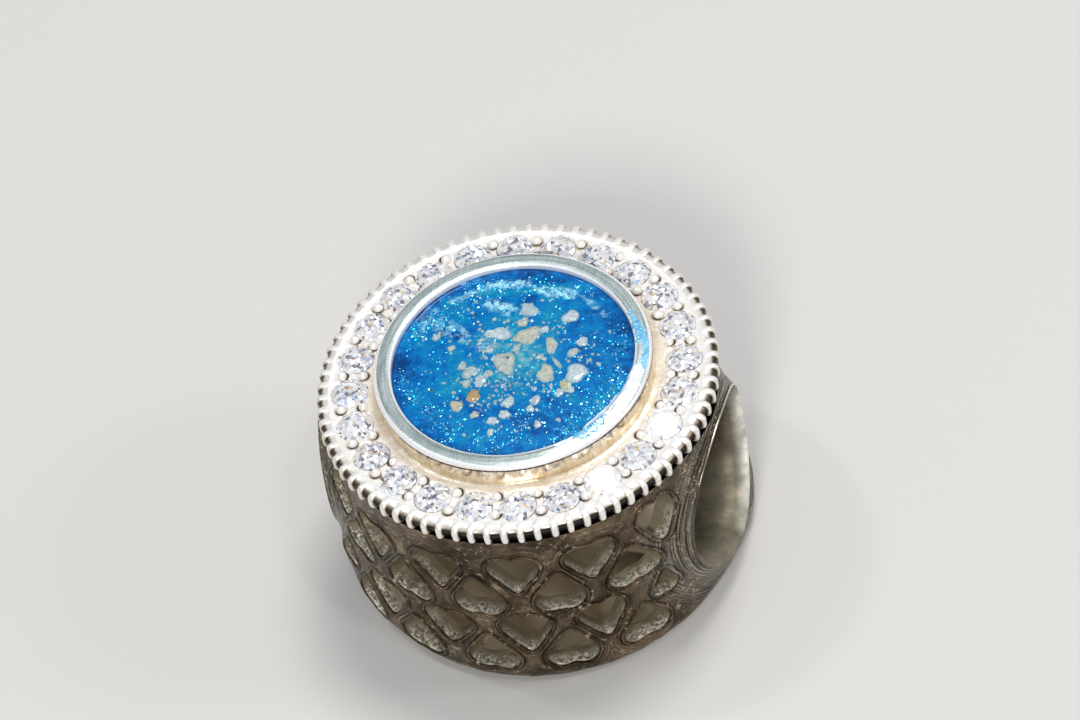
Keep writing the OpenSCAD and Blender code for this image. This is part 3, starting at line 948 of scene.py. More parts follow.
# inner wall
pin, ang_in = [], phi
iy, iz = -2.43 * np.cos(phi), 2.43 * np.sin(phi)
ith = np.arccos(np.clip(-iy / HOLLOW_R, -1, 1))
U_IN = HOLLOW_R * math.pi / 2
in_mouth = np.c_[ith * HOLLOW_R, iz]
in_mouth[0, 0] = in_mouth[-1, 0] = U_IN
V_IN_LO = IN_FOOT_Z - IN_FOOT * math.pi / 2
V_IN_HI = RIM - 0.8
vi_lo = np.linspace(V_IN_LO, in_mouth[0, 1], 6)[1:-1]
vi_hi = np.linspace(in_mouth[-1, 1], V_IN_HI, 4)[1:-1]
r_in = np.vstack([np.c_[np.full(len(vi_lo), U_IN), vi_lo], in_mouth, np.c_[np.full(len(vi_hi), U_IN), vi_hi]])
b_in = np.vstack([np.c_[ths * HOLLOW_R, np.full(nb, V_IN_LO)], r_in,
                  np.c_[ths[::-1] * HOLLOW_R, np.full(nb, V_IN_HI)], (r_in * [-1, 1])[::-1]])
holes_in = [np.c_[hh["thi"] * HOLLOW_R, v_in_of(hh["zi"])] for hh in hearts]
Qi, Ti = fill(b_in, holes_in, 0.45, 0.15)
bi = np.clip((IN_FOOT_Z - Qi[:, 1]) / IN_FOOT, 0, np.pi / 2)
ri = np.where(Qi[:, 1] >= IN_FOOT_Z, HOLLOW_R, HOLLOW_R - IN_FOOT + IN_FOOT * np.cos(bi))
zi = np.where(Qi[:, 1] >= IN_FOOT_Z, Qi[:, 1], IN_FOOT_Z - IN_FOOT * np.sin(bi))
thq = Qi[:, 0] / HOLLOW_R
both(np.c_[ri * np.sin(thq), -ri * np.cos(thq), zi], [tuple(t[::-1]) for t in Ti], 1)

# closing strips: top notch, mouth sides, back plate
def ring_at(r, z):
    return np.c_[r * np.sin(ths), -r * np.cos(ths), np.full(nb, z)]


# top notch under the rim: material 2, the near-black painted shade
rows = [surf(us, np.full(nb, V_TOP)), ring_at(5.795, V_TOP + 0.02), ring_at(5.765, V_TOP + 0.03), ring_at(5.70, V_TOP + 0.01), ring_at(5.66, V_TOP)]
both(np.vstack(rows), grid_faces(5, nb), 2)
rows = [ring_at(5.66, V_TOP), ring_at(5.66, V_IN_HI), ring_at(HOLLOW_R, V_IN_HI)]
both(np.vstack(rows), grid_faces(3, nb), 1)
rows = [surf(mouth_uv[:, 0], mouth_uv[:, 1]),
        np.c_[HOLLOW_R * np.sin(ith), -HOLLOW_R * np.cos(ith), iz]]
V2 = np.vstack(rows)
F2 = grid_faces(2, len(phi))
both(V2, F2, 1)
both(V2 * [-1, 1, 1], [f[::-1] for f in F2], 1)
rows = [surf(us, np.full(nb, V_BOTTOM))] + [ring_at(r, BACK) for r in (4.2, 3.0, 1.6)]
both(np.vstack(rows), grid_faces(4, nb, flip=True), 0)
rows = [ring_at(HOLLOW_R - IN_FOOT, PLATE_Z)] + [ring_at(r, PLATE_Z) for r in (3.2, 1.6)]
both(np.vstack(rows), grid_faces(3, nb), 1)
for z, m, fl in ((BACK, 0, True), (PLATE_Z, 1, False)):
    Vc = np.vstack([ring_at(1.6, z), [[0, 0, z]]])
    Fc = [(i, i + 1, nb) for i in range(nb - 1)]
    both(Vc, [f[::-1] for f in Fc] if fl else Fc, m)

drum = body.build("drum_casting", [WALL, INSIDE, GAP, CUT], smooth=38, weld=True)

# deck under the halo
V, F = lathe_solid([(0, DECK_LO), (5.4, DECK_LO), (5.4, DECK_LO + 0.3), (5.62, SEAT_Z - 0.06), (5.62, SEAT_Z),
                    (CUP_R + 0.04, SEAT_Z), (CUP_R + 0.04, DECK_HI), (0, DECK_HI)], 180)
deck = make("deck_part", V, F, [INSIDE], attrs={"cav": np.full(len(V), 0.3)})

# bore tube with rolled lips
nphi = 168
ph = np.linspace(0, 2 * np.pi, nphi + 1)[:-1]
THROAT = 0.9
prof = []


def tube_row(a):
    y0, z0 = math.cos(a), math.sin(a)
    xl = float(x_lip(LIP_R * y0))
    pts = []
    for x in (0.0, 1.5, 3.0, 4.2):
        pts.append((x, BORE_R))
    for t in np.linspace(0, 1, 14):
        pts.append((xl - THROAT * (1 - t), BORE_R + (LIP_R - LIP_ROUND - BORE_R) * t**3))
    for t in np.radians(np.linspace(75, 0, 6)):
        pts.append((xl - LIP_ROUND + LIP_ROUND * math.sin(t), LIP_R - LIP_ROUND + LIP_ROUND * math.cos(t)))
    pts += [(xl - 0.12, TUBE_R + 0.10), (xl - 0.30, TUBE_R + 0.02), (4.7, TUBE_R), (2.5, TUBE_R), (0.0, TUBE_R)]
    right_side = [(x, r * y0, r * z0) for x, r in pts]
    left_side = [(-x, r * y0, r * z0) for x, r in pts][::-1]
    return right_side + left_side[1:-1], [r for _, r in pts]


rows = [tube_row(a)[0] for a in ph]
V = np.array(rows).reshape(-1, 3)
mprof = len(rows[0])
F = grid_faces(nphi, mprof, wrap_n=True, wrap_m=True)
q = V[list(F[1])]
if np.dot(np.cross(q[1] - q[0], q[2] - q[0]), -np.array([0, q[0][1], q[0][2]])) < 0:
    F = [f[::-1] for f in F]
seg = np.array([n % mprof for n in range(len(F))])
seg = np.where(seg < 28, seg, 55 - seg)
mi = np.where(seg <= 16, 0, np.where(seg <= 22, 3, np.where(seg == 23, 2, 1)))
yn, zn = V[:, 1] / np.hypot(V[:, 1], V[:, 2]), V[:, 2] / np.hypot(V[:, 1], V[:, 2])
yn = yn * np.sign(V[:, 0])          # the two mouths are turned copies of each other
# painted shade on the front and lower part of each lip
lip_shade = np.clip((-yn + 0.25) / 0.3, 0, 1) * np.clip((1.20 - zn) / 0.5, 0, 1)
# painted highlight: a pale band on the far, lower side of each mouth's flare
flare = np.clip((np.hypot(V[:, 1], V[:, 2]) - BORE_R - 0.10) / 0.22, 0, 1) * np.clip((yn + 0.05) / 0.5, 0, 1) * np.clip((0.55 - zn) / 0.6, 0, 1)
tube = make("bore_part", V, F, [BORE, INSIDE, WALL, LIPM], mat_index=mi, smooth=50,
            attrs={"cav": np.clip(0.15 + 0.65 * lip_shade, 0, 1), "edge": flare, "md": np.full(len(V), 0.3)})

# milgrain rim: rounded upright teeth that wrap over the edge, with painted black shade in the hollows between them
tooth = [(-0.5, 0.0), (-0.250, 0.0), (-0.228, 0.05), (-0.217, 0.35), (-0.204, 0.62), (-0.171, 0.82), (-0.111, 0.95), (-0.038, 1.0),
         (0.038, 1.0), (0.111, 0.95), (0.171, 0.82), (0.204, 0.62), (0.217, 0.35), (0.228, 0.05), (0.250, 0.0)]
H = RIM
out_p = [(5.64, H), (5.71, H + 0.004), (5.79, H + 0.002), (5.86, H - 0.008), (5.91, H - 0.025), (5.95, H - 0.052), (5.98, H - 0.095), (5.997, H - 0.15),
         (6.0, H - 0.21), (6.0, H - 0.30), (6.0, H - 0.375), (5.997, H - 0.43), (5.982, H - 0.475), (5.945, H - 0.508), (5.88, H - 0.520), (5.79, H - 0.525),
         (5.71, H - 0.60), (5.69, H - 0.72)]
gap_p = [(5.64, H - 0.004), (5.69, H - 0.018), (5.745, H - 0.034), (5.795, H - 0.054), (5.838, H - 0.078), (5.870, H - 0.106), (5.893, H - 0.134), (5.906, H - 0.160),
         (5.912, H - 0.19), (5.900, H - 0.23), (5.875, H - 0.28), (5.850, H - 0.33), (5.825, H - 0.38), (5.800, H - 0.43), (5.780, H - 0.48), (5.755, H - 0.54),
         (5.715, H - 0.61), (5.69, H - 0.72)]
fix_a = [(5.66, H - 0.74), (5.60, H - 0.74), (RIM_IN - 0.03, SEAT_Z + 0.02), (RIM_IN - 0.03, H - 0.2), (RIM_IN - 0.02, H - 0.1),
         (RIM_IN - 0.01, H - 0.05), (RIM_IN + 0.005, H - 0.012), (RIM_IN + 0.02, H)]
out_p, gap_p, fix_a = np.array(out_p), np.array(gap_p), np.array(fix_a)
NP = len(out_p)
R, A, cavr = [], [], []
for k in range(TEETH):
    dr = 0.008 * rng.standard_normal()
    dz = 0.012 * rng.standard_normal()
    da = 0.014 * rng.standard_normal()
    wd = 1 + 0.05 * rng.standard_normal()
    for f, hgt_ in tooth:
        a = 2 * math.pi * (k + (f * wd + da if hgt_ > 0 else f)) / TEETH + math.radians(TOOTH_TURN)
        off = abs(math.sin(a + math.radians(64))) ** 1.5      # painted shade in the hollows, darker away from the front
        P = gap_p + (out_p - gap_p) * hgt_
        P[4:13, 0] += dr * hgt_
        P[9:15, 1] += dz * hgt_
        PP = np.vstack([P, fix_a])
        R.append(np.c_[PP[:, 0] * math.cos(a), PP[:, 0] * math.sin(a), PP[:, 1]])
        # painted shade: dark in the hollows between the teeth and in a band below them
        w = np.r_[0, 0.05, 0.12, 0.08 + 0.5 * off, 0.18 + 0.65 * off, 0.45 + 0.45 * off, 0.85, 1.0, 1.0, np.ones(NP - 9),
                  np.ones(2), np.zeros(len(fix_a) - 2)]
        low_ = np.r_[np.zeros(NP - 3), 0.6, 1.0, 1.0, np.ones(2), np.zeros(len(fix_a) - 2)]
        cavr.append(np.maximum(np.clip(1.15 - hgt_ * 1.15, 0, 1) * w, low_))
V = np.array(R).reshape(-1, 3)
F = grid_faces(len(R), len(PP), wrap_n=True, wrap_m=True, flip=False)
q = V[list(F[9])]
if np.dot(np.cross(q[1] - q[0], q[2] - q[0]), [q[0][0], q[0][1], 0]) < 0:
    F = [f[::-1] for f in F]
rim = make("rim_part", V, F, [TOOTH], attrs={"cav": np.concatenate(cavr)}, smooth=42)

# one object for the whole casting
for o in list(bpy.context.selected_objects):
    o.select_set(False)
bpy.context.view_layer.objects.active = drum
for o in (drum, deck, tube, rim):
    o.select_set(True)
bpy.ops.object.join()
drum = bpy.context.view_layer.objects.active
drum.select_set(False)


# ---------------------------------------------------------------- pave ring
def sphere_bump(c, r, h, n=14, m=6, lean=0.0):
    """Bead prong: a domed pin that stands on the plate."""
    rows = []
    for i in range(m):
        t = math.radians(90 * i / (m - 1) * 0.98)
        rr, zz = r * math.cos(t), h * math.sin(t)
        a = np.linspace(0, 2 * np.pi, n + 1)[:-1]
        rows.append(np.c_[c[0] + rr * np.cos(a), c[1] + rr * np.sin(a), np.full(n, c[2] + zz)])
    a = np.linspace(0, 2 * np.pi, n + 1)[:-1]
    foot = np.c_[c[0] + r * np.cos(a), c[1] + r * np.sin(a), np.full(n, c[2] - 0.25)]
    V = np.vstack([foot] + rows + [[[c[0], c[1], c[2] + h]], [[c[0], c[1], c[2] - 0.25]]])
    k = m + 1
    F = grid_faces(k, n, wrap_m=True)
    top, lo = k * n, k * n + 1
    F += [((k - 1) * n + j, (k - 1) * n + (j + 1) % n, top) for j in range(n)]
    F += [((j + 1) % n, j, lo) for j in range(n)]
    return V, F


def polar(r, a, z):
    return np.array([r * math.cos(a), r * math.sin(a), z])


pave = Bag("cav", "tan")
# plate: polar height field with a seat round each stone
nr, na = 44, 1008
rr = np.linspace(CUP_R - 0.01, RIM_IN + 0.015, nr)
aa = np.linspace(0, 2 * np.pi, na + 1)[:-1]
RR, AA = np.meshgrid(rr, aa)
X, Y = RR * np.cos(AA), RR * np.sin(AA)
st = [math.radians(15 * k + STONE_TURN) for k in range(STONES)]
D = np.full(X.shape, 9.0)
for a in st:
    D = np.minimum(D, np.hypot(X - STONE_R * math.cos(a), Y - STONE_R * math.sin(a)))
FACE = RIM - 0.035
Z = np.full(X.shape, FACE)
seat = np.clip((0.560 - D) / 0.03, 0, 1)
cone = SEAT_Z + 0.07 + (FACE - SEAT_Z - 0.17) * np.clip(D / 0.56, 0, 1)
Z = Z * (1 - seat) + cone * seat
# a soft fillet against the cup, a rounded band against the rim
chan = np.clip((RR - (CUP_R + 0.04)) / 0.16, 0, 1)
Z = np.where(seat > 0, Z, Z + 0.03 * (1 - chan) ** 2)
band = np.clip((RR - 5.50) / 0.08, 0, 1)
Z = Z + band * 0.03 * (1 - seat)
Z += 0.006 * fract_noise(np.c_[X.ravel(), Y.ravel(), Z.ravel()], 3.0, 2, 4.0).reshape(X.shape)
# painted shade: a little in each stone's seat, and dark crescents round each bead
cavp = np.clip(seat * 0.12, 0, 1)
tanp = np.clip((4.50 - RR) / 0.14, 0, 1) * 0.8
beads = []
for k in range(STONES):
    am = math.radians(15 * (k + 0.5) + STONE_TURN)
    for r0 in (4.60, 5.25):
        beads.append((r0 + 0.012 * rng.standard_normal(), am + 0.006 * rng.standard_normal(), 0.149 * (1 + 0.05 * rng.standard_normal())))
for r0, am, rad in beads:
    db = np.hypot(X - r0 * math.cos(am), Y - r0 * math.sin(am))
    way_ = -math.radians(64) + 1.1 * rng.standard_normal()      # the side of the bead where its painted shadow is darkest
    front = ((X - r0 * math.cos(am)) * math.cos(way_) + (Y - r0 * math.sin(am)) * math.sin(way_)) / np.maximum(db, 1e-6)
    cavp = np.maximum(cavp, np.clip(1.5 - np.abs(db - rad) / (0.055 + 0.02 * front), 0, 1) * np.clip(0.52 + 0.42 * front, 0, 0.9))
top = np.stack([X, Y, Z], -1).reshape(-1, 3)
base0 = pave.add(top, grid_faces(na, nr, wrap_n=True, flip=True), 0, cav=cavp.ravel(), tan=tanp.ravel())
low_in = np.c_[rr[0] * np.cos(aa), rr[0] * np.sin(aa), np.full(na, SEAT_Z + 0.04)]
low_out = np.c_[rr[-1] * np.cos(aa), rr[-1] * np.sin(aa), np.full(na, SEAT_Z + 0.04)]
side = np.stack([top.reshape(na, nr, 3)[:, -1], low_out, low_in, top.reshape(na, nr, 3)[:, 0]], 1).reshape(-1, 3)
# painted shade on the plate's sides
pave.add(side, grid_faces(na, 4, wrap_n=True, flip=True), 0, cav=0.2)
for r0, am, rad in beads:
    c = polar(r0, am, RIM - 0.06)
    V, F = sphere_bump(c, rad, 0.165 + 0.010 * rng.standard_normal(), n=24, m=9)
    # painted shade round the foot of each bead
    zt = np.clip((V[:, 2] - (RIM - 0.06)) / 0.06, 0, 1)
    pave.add(V, F, 0, cav=0.5 * (1 - zt))
pave_ob = pave.build("pave_plate", [PAVE], smooth=40, weld=True)


# ---------------------------------------------------------------- stones
def brilliant(c, r, turn, tilt):
    """A round brilliant: table, star, kite and girdle facets above, mains and lower facets below."""
    V, F = [], []
    table, star, girdle, low = [], [], [], []
    h, d = 0.30 * r, 0.84 * r
    for k in range(8):
        a = math.radians(45 * k) + turn
        table.append(len(V)); V.append((0.56 * r * math.cos(a), 0.56 * r * math.sin(a), h))
    for k in range(8):
        a = math.radians(45 * k + 22.5) + turn
        star.append(len(V)); V.append((0.75 * r * math.cos(a), 0.75 * r * math.sin(a), h * 0.6))
    for k in range(16):
        a = math.radians(22.5 * k) + turn
        girdle.append(len(V)); V.append((r * math.cos(a), r * math.sin(a), 0.02 * r))
    for k in range(16):
        a = math.radians(22.5 * k) + turn
        low.append(len(V)); V.append((r * math.cos(a), r * math.sin(a), -0.03 * r))
    pav = []
    for k in range(8):
        a = math.radians(45 * k + 22.5) + turn
        pav.append(len(V)); V.append((0.22 * r * math.cos(a), 0.22 * r * math.sin(a), -d * 0.80))
    tip = len(V); V.append((0, 0, -d))
    F.append(tuple(table))
    for k in range(8):
        k2 = (k + 1) % 8
        F.append((table[k], star[k], table[k2]))
        F.append((table[k], star[k - 1], girdle[2 * k], star[k]))
        F.append((star[k], girdle[2 * k], girdle[2 * k + 1]))
        F.append((star[k], girdle[2 * k + 1], girdle[(2 * k + 2) % 16]))
        F.append((low[2 * k], pav[k], low[2 * k + 1]))
        F.append((low[2 * k + 1], pav[k], low[(2 * k + 2) % 16]))
        F.append((low[2 * k], pav[k - 1], tip, pav[k]))
    for k in range(16):
        k2 = (k + 1) % 16
        F.append((girdle[k], low[k], low[k2], girdle[k2]))
    V = np.array(V)
    ax, ay = tilt
    Rx = np.array([[1, 0, 0], [0, math.cos(ax), -math.sin(ax)], [0, math.sin(ax), math.cos(ax)]])
    Ry = np.array([[math.cos(ay), 0, math.sin(ay)], [0, 1, 0], [-math.sin(ay), 0, math.cos(ay)]])
    return V @ (Rx @ Ry).T + c, F


gems = Bag("cav")
BLOWN = (316.3, 346.3)      # two stones whose tables get a painted white highlight
for a in st:
    c = polar(STONE_R, a, RIM - 0.05)
    V, F = brilliant(c, STONE_D / 2 - 0.005, rng.uniform(0, 0.8), rng.normal(0, 0.035, 2))
    deg = math.degrees(a) % 360
    white = np.zeros(len(V))
    # painted highlight on these stones' tables, star facets and a little of the girdle
    if any(abs(deg - q_) < 4 for q_ in BLOWN):
        white[:8], white[8:16], white[16:32] = 1.0, 0.8, 0.15
    gems.add(V, F, cav=white)
stones = gems.build("halo_stones", [STONE], smooth=None)
stones.data.polygons.foreach_set("use_smooth", np.zeros(len(stones.data.polygons), bool))

# ---------------------------------------------------------------- cup
t = CUP_TOP
prof = [(0, DECK_HI + 0.04), (CUP_R - 0.03, DECK_HI + 0.04), (CUP_R, DECK_HI + 0.07), (CUP_R, RIM - 0.1), (CUP_R, RIM + 0.2), (CUP_R, t - 0.205), (CUP_R, t - 0.195), (CUP_R, t - 0.14), (CUP_R, t - 0.13), (CUP_R - 0.004, t - 0.105),
        (CUP_R - 0.025, t - 0.07), (CUP_R - 0.06, t - 0.035), (CUP_R - 0.10, t - 0.010), (CUP_R - 0.13, t - 0.001), (CUP_R - 0.22, t), (CUP_IN + 0.16, t), (CUP_IN + 0.14, t - 0.001),
        (CUP_IN + 0.035, t - 0.024), (CUP_IN + 0.010, t - 0.05), (CUP_IN, t - 0.09), (CUP_IN, t - 0.3), (CUP_IN, DECK_HI + 0.44), (0, DECK_HI + 0.44)]
V, F = lathe_solid(prof, 256)
rv, av = np.hypot(V[:, 0], V[:, 1]), np.arctan2(V[:, 1], V[:, 0])
dark_line = (rv > CUP_R - 0.002) & (V[:, 2] > t - 0.20) & (V[:, 2] < t - 0.135)
tip = np.clip(np.cos(av - math.radians(-14)), 0, 1) ** 2.5
onr = V[:, 2] > t - 0.14
V[:, 2] -= np.where(onr, 0.105 * tip * np.clip((rv - CUP_IN - 0.06) / 0.45, 0, 1), 0)
V[:, 2] += np.where(onr & (rv > CUP_IN + 0.05), 0.004 * np.sin(7 * av) * np.sin(3 * av + 1), 0)
V[:, 2] = np.minimum(V[:, 2], CUP_TOP)
# colour codes: 0.5 painted highlight on the outer rounding and the inner wall above the resin, 1 the outer wall, 2 a
# dark red-brown line
kind = np.where((rv > CUP_R - 0.002) & (V[:, 2] < t - 0.1), 1.0, 0.0)
kind = np.where((rv > CUP_R - 0.11) & (V[:, 2] > t - 0.22) & (kind < 0.5), 0.5, kind)
kind = np.where((rv > CUP_R - 0.002) & (V[:, 2] < t - 0.13) & (V[:, 2] > t - 0.32) & (np.abs(V[:, 2] - (RIM + 0.2)) > 0.01), 1.0, kind)
kind[dark_line] = 2.0
kind = np.where((rv < CUP_IN + 0.05) & (V[:, 2] > t - 0.32) & (rv > 1), 0.5, kind)
cup = make("bezel_cup_turned", V, F, [CUP], smooth=28, attrs={"cav": kind})


# ---------------------------------------------------------------- resin
dome_r = (RESIN_R**2 + RESIN_RISE**2) / (2 * RESIN_RISE)


def resin_z(x, y):
    return RESIN_EDGE + RESIN_RISE - dome_r + np.sqrt(dome_r**2 - x * x - y * y)


CAM_R = np.array([[0.951883, 0.267063, -0.150323], [0.111074, -0.757803, -0.64296], [-0.285626, 0.595326, -0.751003]])
CAM_P = np.array([51.008, -104.507, 136.304])


def at_pixel(u, v, z):
    """Point of the object at height z that shows at pixel (u, v) of the 1080 x 720 frame."""
    d = CAM_R.T @ np.array([(u - 540) / 6000, (v - 360) / 6000, 1.0])
    k = (z - CAM_P[2]) / d[2]
    return CAM_P + k * d


nr, na = 90, 240
rr = RESIN_R * np.sqrt(np.linspace(0, 1, nr + 1))[1:]
rr[-1] = RESIN_R
aa = np.linspace(0, 2 * np.pi, na + 1)[:-1]
RR, AA = np.meshgrid(rr, aa)
X, Y = RR * np.cos(AA), RR * np.sin(AA)
Z = resin_z(X, Y) + 0.05 * np.clip((RR - (RESIN_R - 0.12)) / 0.12, 0, 1) ** 2
topv = np.stack([X, Y, Z], -1).reshape(-1, 3)
# blue: how pale the resin is, with a painted highlight band near the far edge and painted shade at the rim; glit: how
# much glitter; both by place on the face
c0 = at_pixel(512, 360, 4.2)
far = at_pixel(540, 290, 4.2)
b1, b2 = at_pixel(575, 425, 4.2), at_pixel(640, 375, 4.2)


def near_seg(P, a, b):
    ab = (b - a)[:2]
    t_ = np.clip(((P[:, :2] - a[:2]) @ ab) / (ab @ ab), 0, 1)
    return np.linalg.norm(P[:, :2] - (a[:2] + t_[:, None] * ab), axis=1)


s1, s2 = at_pixel(478, 296, 4.2), at_pixel(600, 285, 4.2)
g1, g2 = at_pixel(430, 330, 4.2), at_pixel(470, 290, 4.2)


def line_of(*px):
    return [at_pixel(u, v, 4.2) for u, v in px]


GLIT = [  # ends of a band of glitter in pixels, width, strength
    (line_of((418, 335), (470, 297)), 0.50, 0.60), (line_of((618, 335), (622, 385)), 0.34, 0.50),
    (line_of((565, 432), (614, 398)), 0.34, 0.65), (line_of((400, 380), (452, 437)), 0.24, 0.55),
    (line_of((486, 286), (590, 291)), 0.24, 0.55), (line_of((470, 443), (560, 440)), 0.20, 0.30),
    (line_of((500, 440), (580, 385)), 0.60, 0.25),
]


def blue_of(P):
    rad = np.hypot(P[:, 0], P[:, 1])
    # painted highlight: a pale band along s1 to s2, near the far edge
    v = 0.40 + 0.50 * np.exp(-(near_seg(P, s1, s2) / 0.20) ** 2)
    v += 0.48 * np.exp(-((np.linalg.norm(P[:, :2] - c0[:2], axis=1) / 1.30) ** 2))
    v += 0.22 * np.exp(-(near_seg(P, b1, b2) / 0.30) ** 2)
    v += 0.12 * np.exp(-(near_seg(P, g1, g2) / 0.45) ** 2)
    # painted shade: darker towards the rim, most on the far side
    v -= 0.26 * np.clip((rad - 2.7) / 0.8, 0, 1) * (0.45 + 0.55 * ((P[:, 1] > 0) | (P[:, 0] < -2.4)))
    return np.clip(v, 0, 1)


def glit_of(P):
    v = np.full(len(P), 0.14)
    for (a_, b_), w_, k_ in GLIT:
        v = v + k_ * np.exp(-(near_seg(P, a_, b_) / w_) ** 2)
    return np.clip(v, 0, 1)


# painted reflections: lines of pale cyan streaks on the resin's face
FLASH = [(line_of((490, 286), (526, 284)), 0.19, 1.0), (line_of((545, 292), (573, 295)), 0.20, 1.1),
         (line_of((492, 306), (510, 311)), 0.26, 0.95), (line_of((452, 303), (480, 290)), 0.20, 0.6),
         (line_of((585, 298), (606, 316)), 0.16, 0.5), (line_of((440, 325), (466, 338)), 0.34, 0.6),
         (line_of((480, 345), (492, 350)), 0.30, 0.6), (line_of((420, 330), (432, 312)), 0.26, 0.6),
         (line_of((533, 288), (540, 290)), 0.16, 0.7)]


def flash_of(P):
    v = np.zeros(len(P))
    for (a_, b_), w_, k_ in FLASH:
        v = np.maximum(v, k_ * np.exp(-(near_seg(P, a_, b_) / w_) ** 2))
    return v


def haze_of(P):
    return np.exp(-((np.linalg.norm(P[:, :2] - c0[:2], axis=1) / 1.6) ** 2))


body_r = Bag("blue", "glit", "haze", "flash")
ctr = np.array([[0, 0, float(resin_z(0.0, 0.0))]])
tv = np.vstack([topv, ctr])
F = grid_faces(na, nr, wrap_n=True, flip=True)
F += [(len(topv), i * nr, ((i + 1) % na) * nr) for i in range(na)]
body_r.add(tv, F, 0, blue=blue_of(tv), glit=glit_of(tv), haze=haze_of(tv), flash=flash_of(tv))
edge = topv.reshape(na, nr, 3)[:, -1]
lowz = DECK_HI + 0.46
lowr = edge.copy()
lowr[:, 2] = lowz
sd = np.stack([edge, lowr], 1).reshape(-1, 3)
body_r.add(sd, grid_faces(na, 2, wrap_n=True, flip=True), 0, blue=0.2, glit=0.2)
bt = np.vstack([lowr, [[0, 0, lowz]]])
body_r.add(bt, [((i + 1) % na, i, na) for i in range(na)], 0, blue=0.2)
resin = body_r.build("resin_blue", [RESIN], smooth=50, weld=True)

# ---------------------------------------------------------------- ash
ASH_LIST = [  # pixel x, y, width, height, turn, tone, rise
    (528, 336, 28, 18, 10, 0.55, 0.05), (498, 334, 28, 13, -12, 1.0, 0.05), (505, 363, 22, 26, 0, 0.66, 0.06),
    (529, 309, 20, 14, 5, 0.82, 0.04), (523, 322, 12, 9, 30, 0.6, 0.04), (570, 316, 17, 14, -35, 0.95, 0.05),
    (551, 345, 11, 20, 15, 0.62, 0.05), (582, 341, 14, 9, 10, 0.9, 0.04), (573, 352, 11, 10, 0, 0.7, 0.04),
    (576, 372, 25, 18, -20, 0.98, 0.06), (546, 374, 17, 20, 20, 0.6, 0.05), (557, 363, 5, 16, 35, 0.8, 0.04),
    (565, 385, 12, 12, 0, 0.42, 0.04), (569, 389, 10, 8, 0, 0.7, 0.04), (559, 392, 10, 8, 20, 0.9, 0.04),
    (473, 396, 17, 12, 40, 0.22, 0.05), (456, 405, 13, 12, 0, 0.42, 0.03), (474, 414, 9, 8, 0, 0.6, 0.04),
    (436, 336, 9, 8, 0, 0.8, 0.04), (451, 348, 8, 7, 0, 0.7, 0.04), (470, 372, 16, 13, 0, 0.80, 0.04), (462, 366, 10, 9, 0, 0.76, 0.035), (488, 374, 11, 8, 10, 0.74, 0.04),
    (480, 381, 14, 11, 20, 0.88, 0.05), (466, 383, 9, 8, 0, 0.7, 0.04), (508, 402, 14, 11, 10, 0.97, 0.05),
    (504, 414, 12, 10, -10, 0.95, 0.05), (492, 420, 12, 9, 0, 0.9, 0.04), (535, 400, 12, 9, 0, 0.85, 0.04),
    (530, 408, 9, 7, 0, 0.9, 0.04), (537, 423, 9, 7, 0, 0.8, 0.04), (490, 431, 8, 7, 0, 0.85, 0.04),
    (431, 389, 4, 4, 0, 0.0, 0.03), (508, 359, 4, 4, 0, 0.04, 0.085), (545, 329, 9, 7, 20, 0.9, 0.04),
    (516, 349, 10, 8, 0, 0.75, 0.04), (489, 350, 9, 8, 0, 0.85, 0.04), (540, 357, 8, 7, 0, 0.9, 0.04),
]
GRAINS = [  # middle in pixels, spread, number, tone of loose grains
    (472, 374, 10, 8, 34, 0.80), (505, 386, 15, 9, 46, 0.88), (492, 345, 12, 10, 22, 0.85), (531, 384, 14, 12, 26, 0.85),
    (486, 408, 12, 9, 22, 0.90), (560, 328, 14, 8, 20, 0.90), (518, 424, 20, 8, 22, 0.90), (588, 356, 10, 12, 18, 0.92),
]


def lump(cx, cy, a, b, turn, rise, seed, n=18, m=6):
    """A flat, angular fragment that breaks the resin's face."""
    r_ = np.random.default_rng(seed)
    th_ = np.linspace(0, 2 * np.pi, n + 1)[:-1]
    form = 1 + 0.13 * np.cos(2 * th_ + r_.uniform(0, 6)) + 0.10 * np.cos(3 * th_ + r_.uniform(0, 6)) \
        + 0.07 * np.cos(5 * th_ + r_.uniform(0, 6)) + 0.05 * r_.standard_normal(n)
    ct, sn = math.cos(turn), math.sin(turn)
    rows = []
    levels = [(1.0, -0.16), (1.0, -0.01), (0.93, 0.35), (0.78, 0.72), (0.55, 0.93), (0.28, 1.0)]
    tiltx, tilty = r_.normal(0, 0.12, 2)
    for s, zf in levels:
        lx, ly = a * s * form * np.cos(th_), b * s * form * np.sin(th_)
        x, y = cx + lx * ct - ly * sn, cy + lx * sn + ly * ct
        z = resin_z(np.clip(x, -3.5, 3.5), np.clip(y, -3.5, 3.5)) * 1.0
        lift = rise * zf if zf > 0 else zf
        z = z + lift + (0.22 * rise * r_.standard_normal(n) if 0 < zf < 1 else 0)
        if zf > 0:
            z = z + (lx * tiltx + ly * tilty) * 0.3
        rows.append(np.c_[x, y, z])
    V = np.vstack(rows + [[rows[-1].mean(0)], [rows[0].mean(0)]])
    F = grid_faces(len(levels), n, wrap_m=True)
    k = len(levels)
    F += [((k - 1) * n + j, (k - 1) * n + (j + 1) % n, k * n) for j in range(n)]
    F += [((j + 1) % n, j, k * n + 1) for j in range(n)]
    return V, F


def wet_rim(k, n):
    """How blue the resin makes a fragment: most at its rim, little on its top."""
    w = np.zeros(k)
    w[:n], w[n:2 * n], w[2 * n:3 * n], w[3 * n:4 * n], w[4 * n:] = 0.92, 0.88, 0.58, 0.32, 0.15
    return w


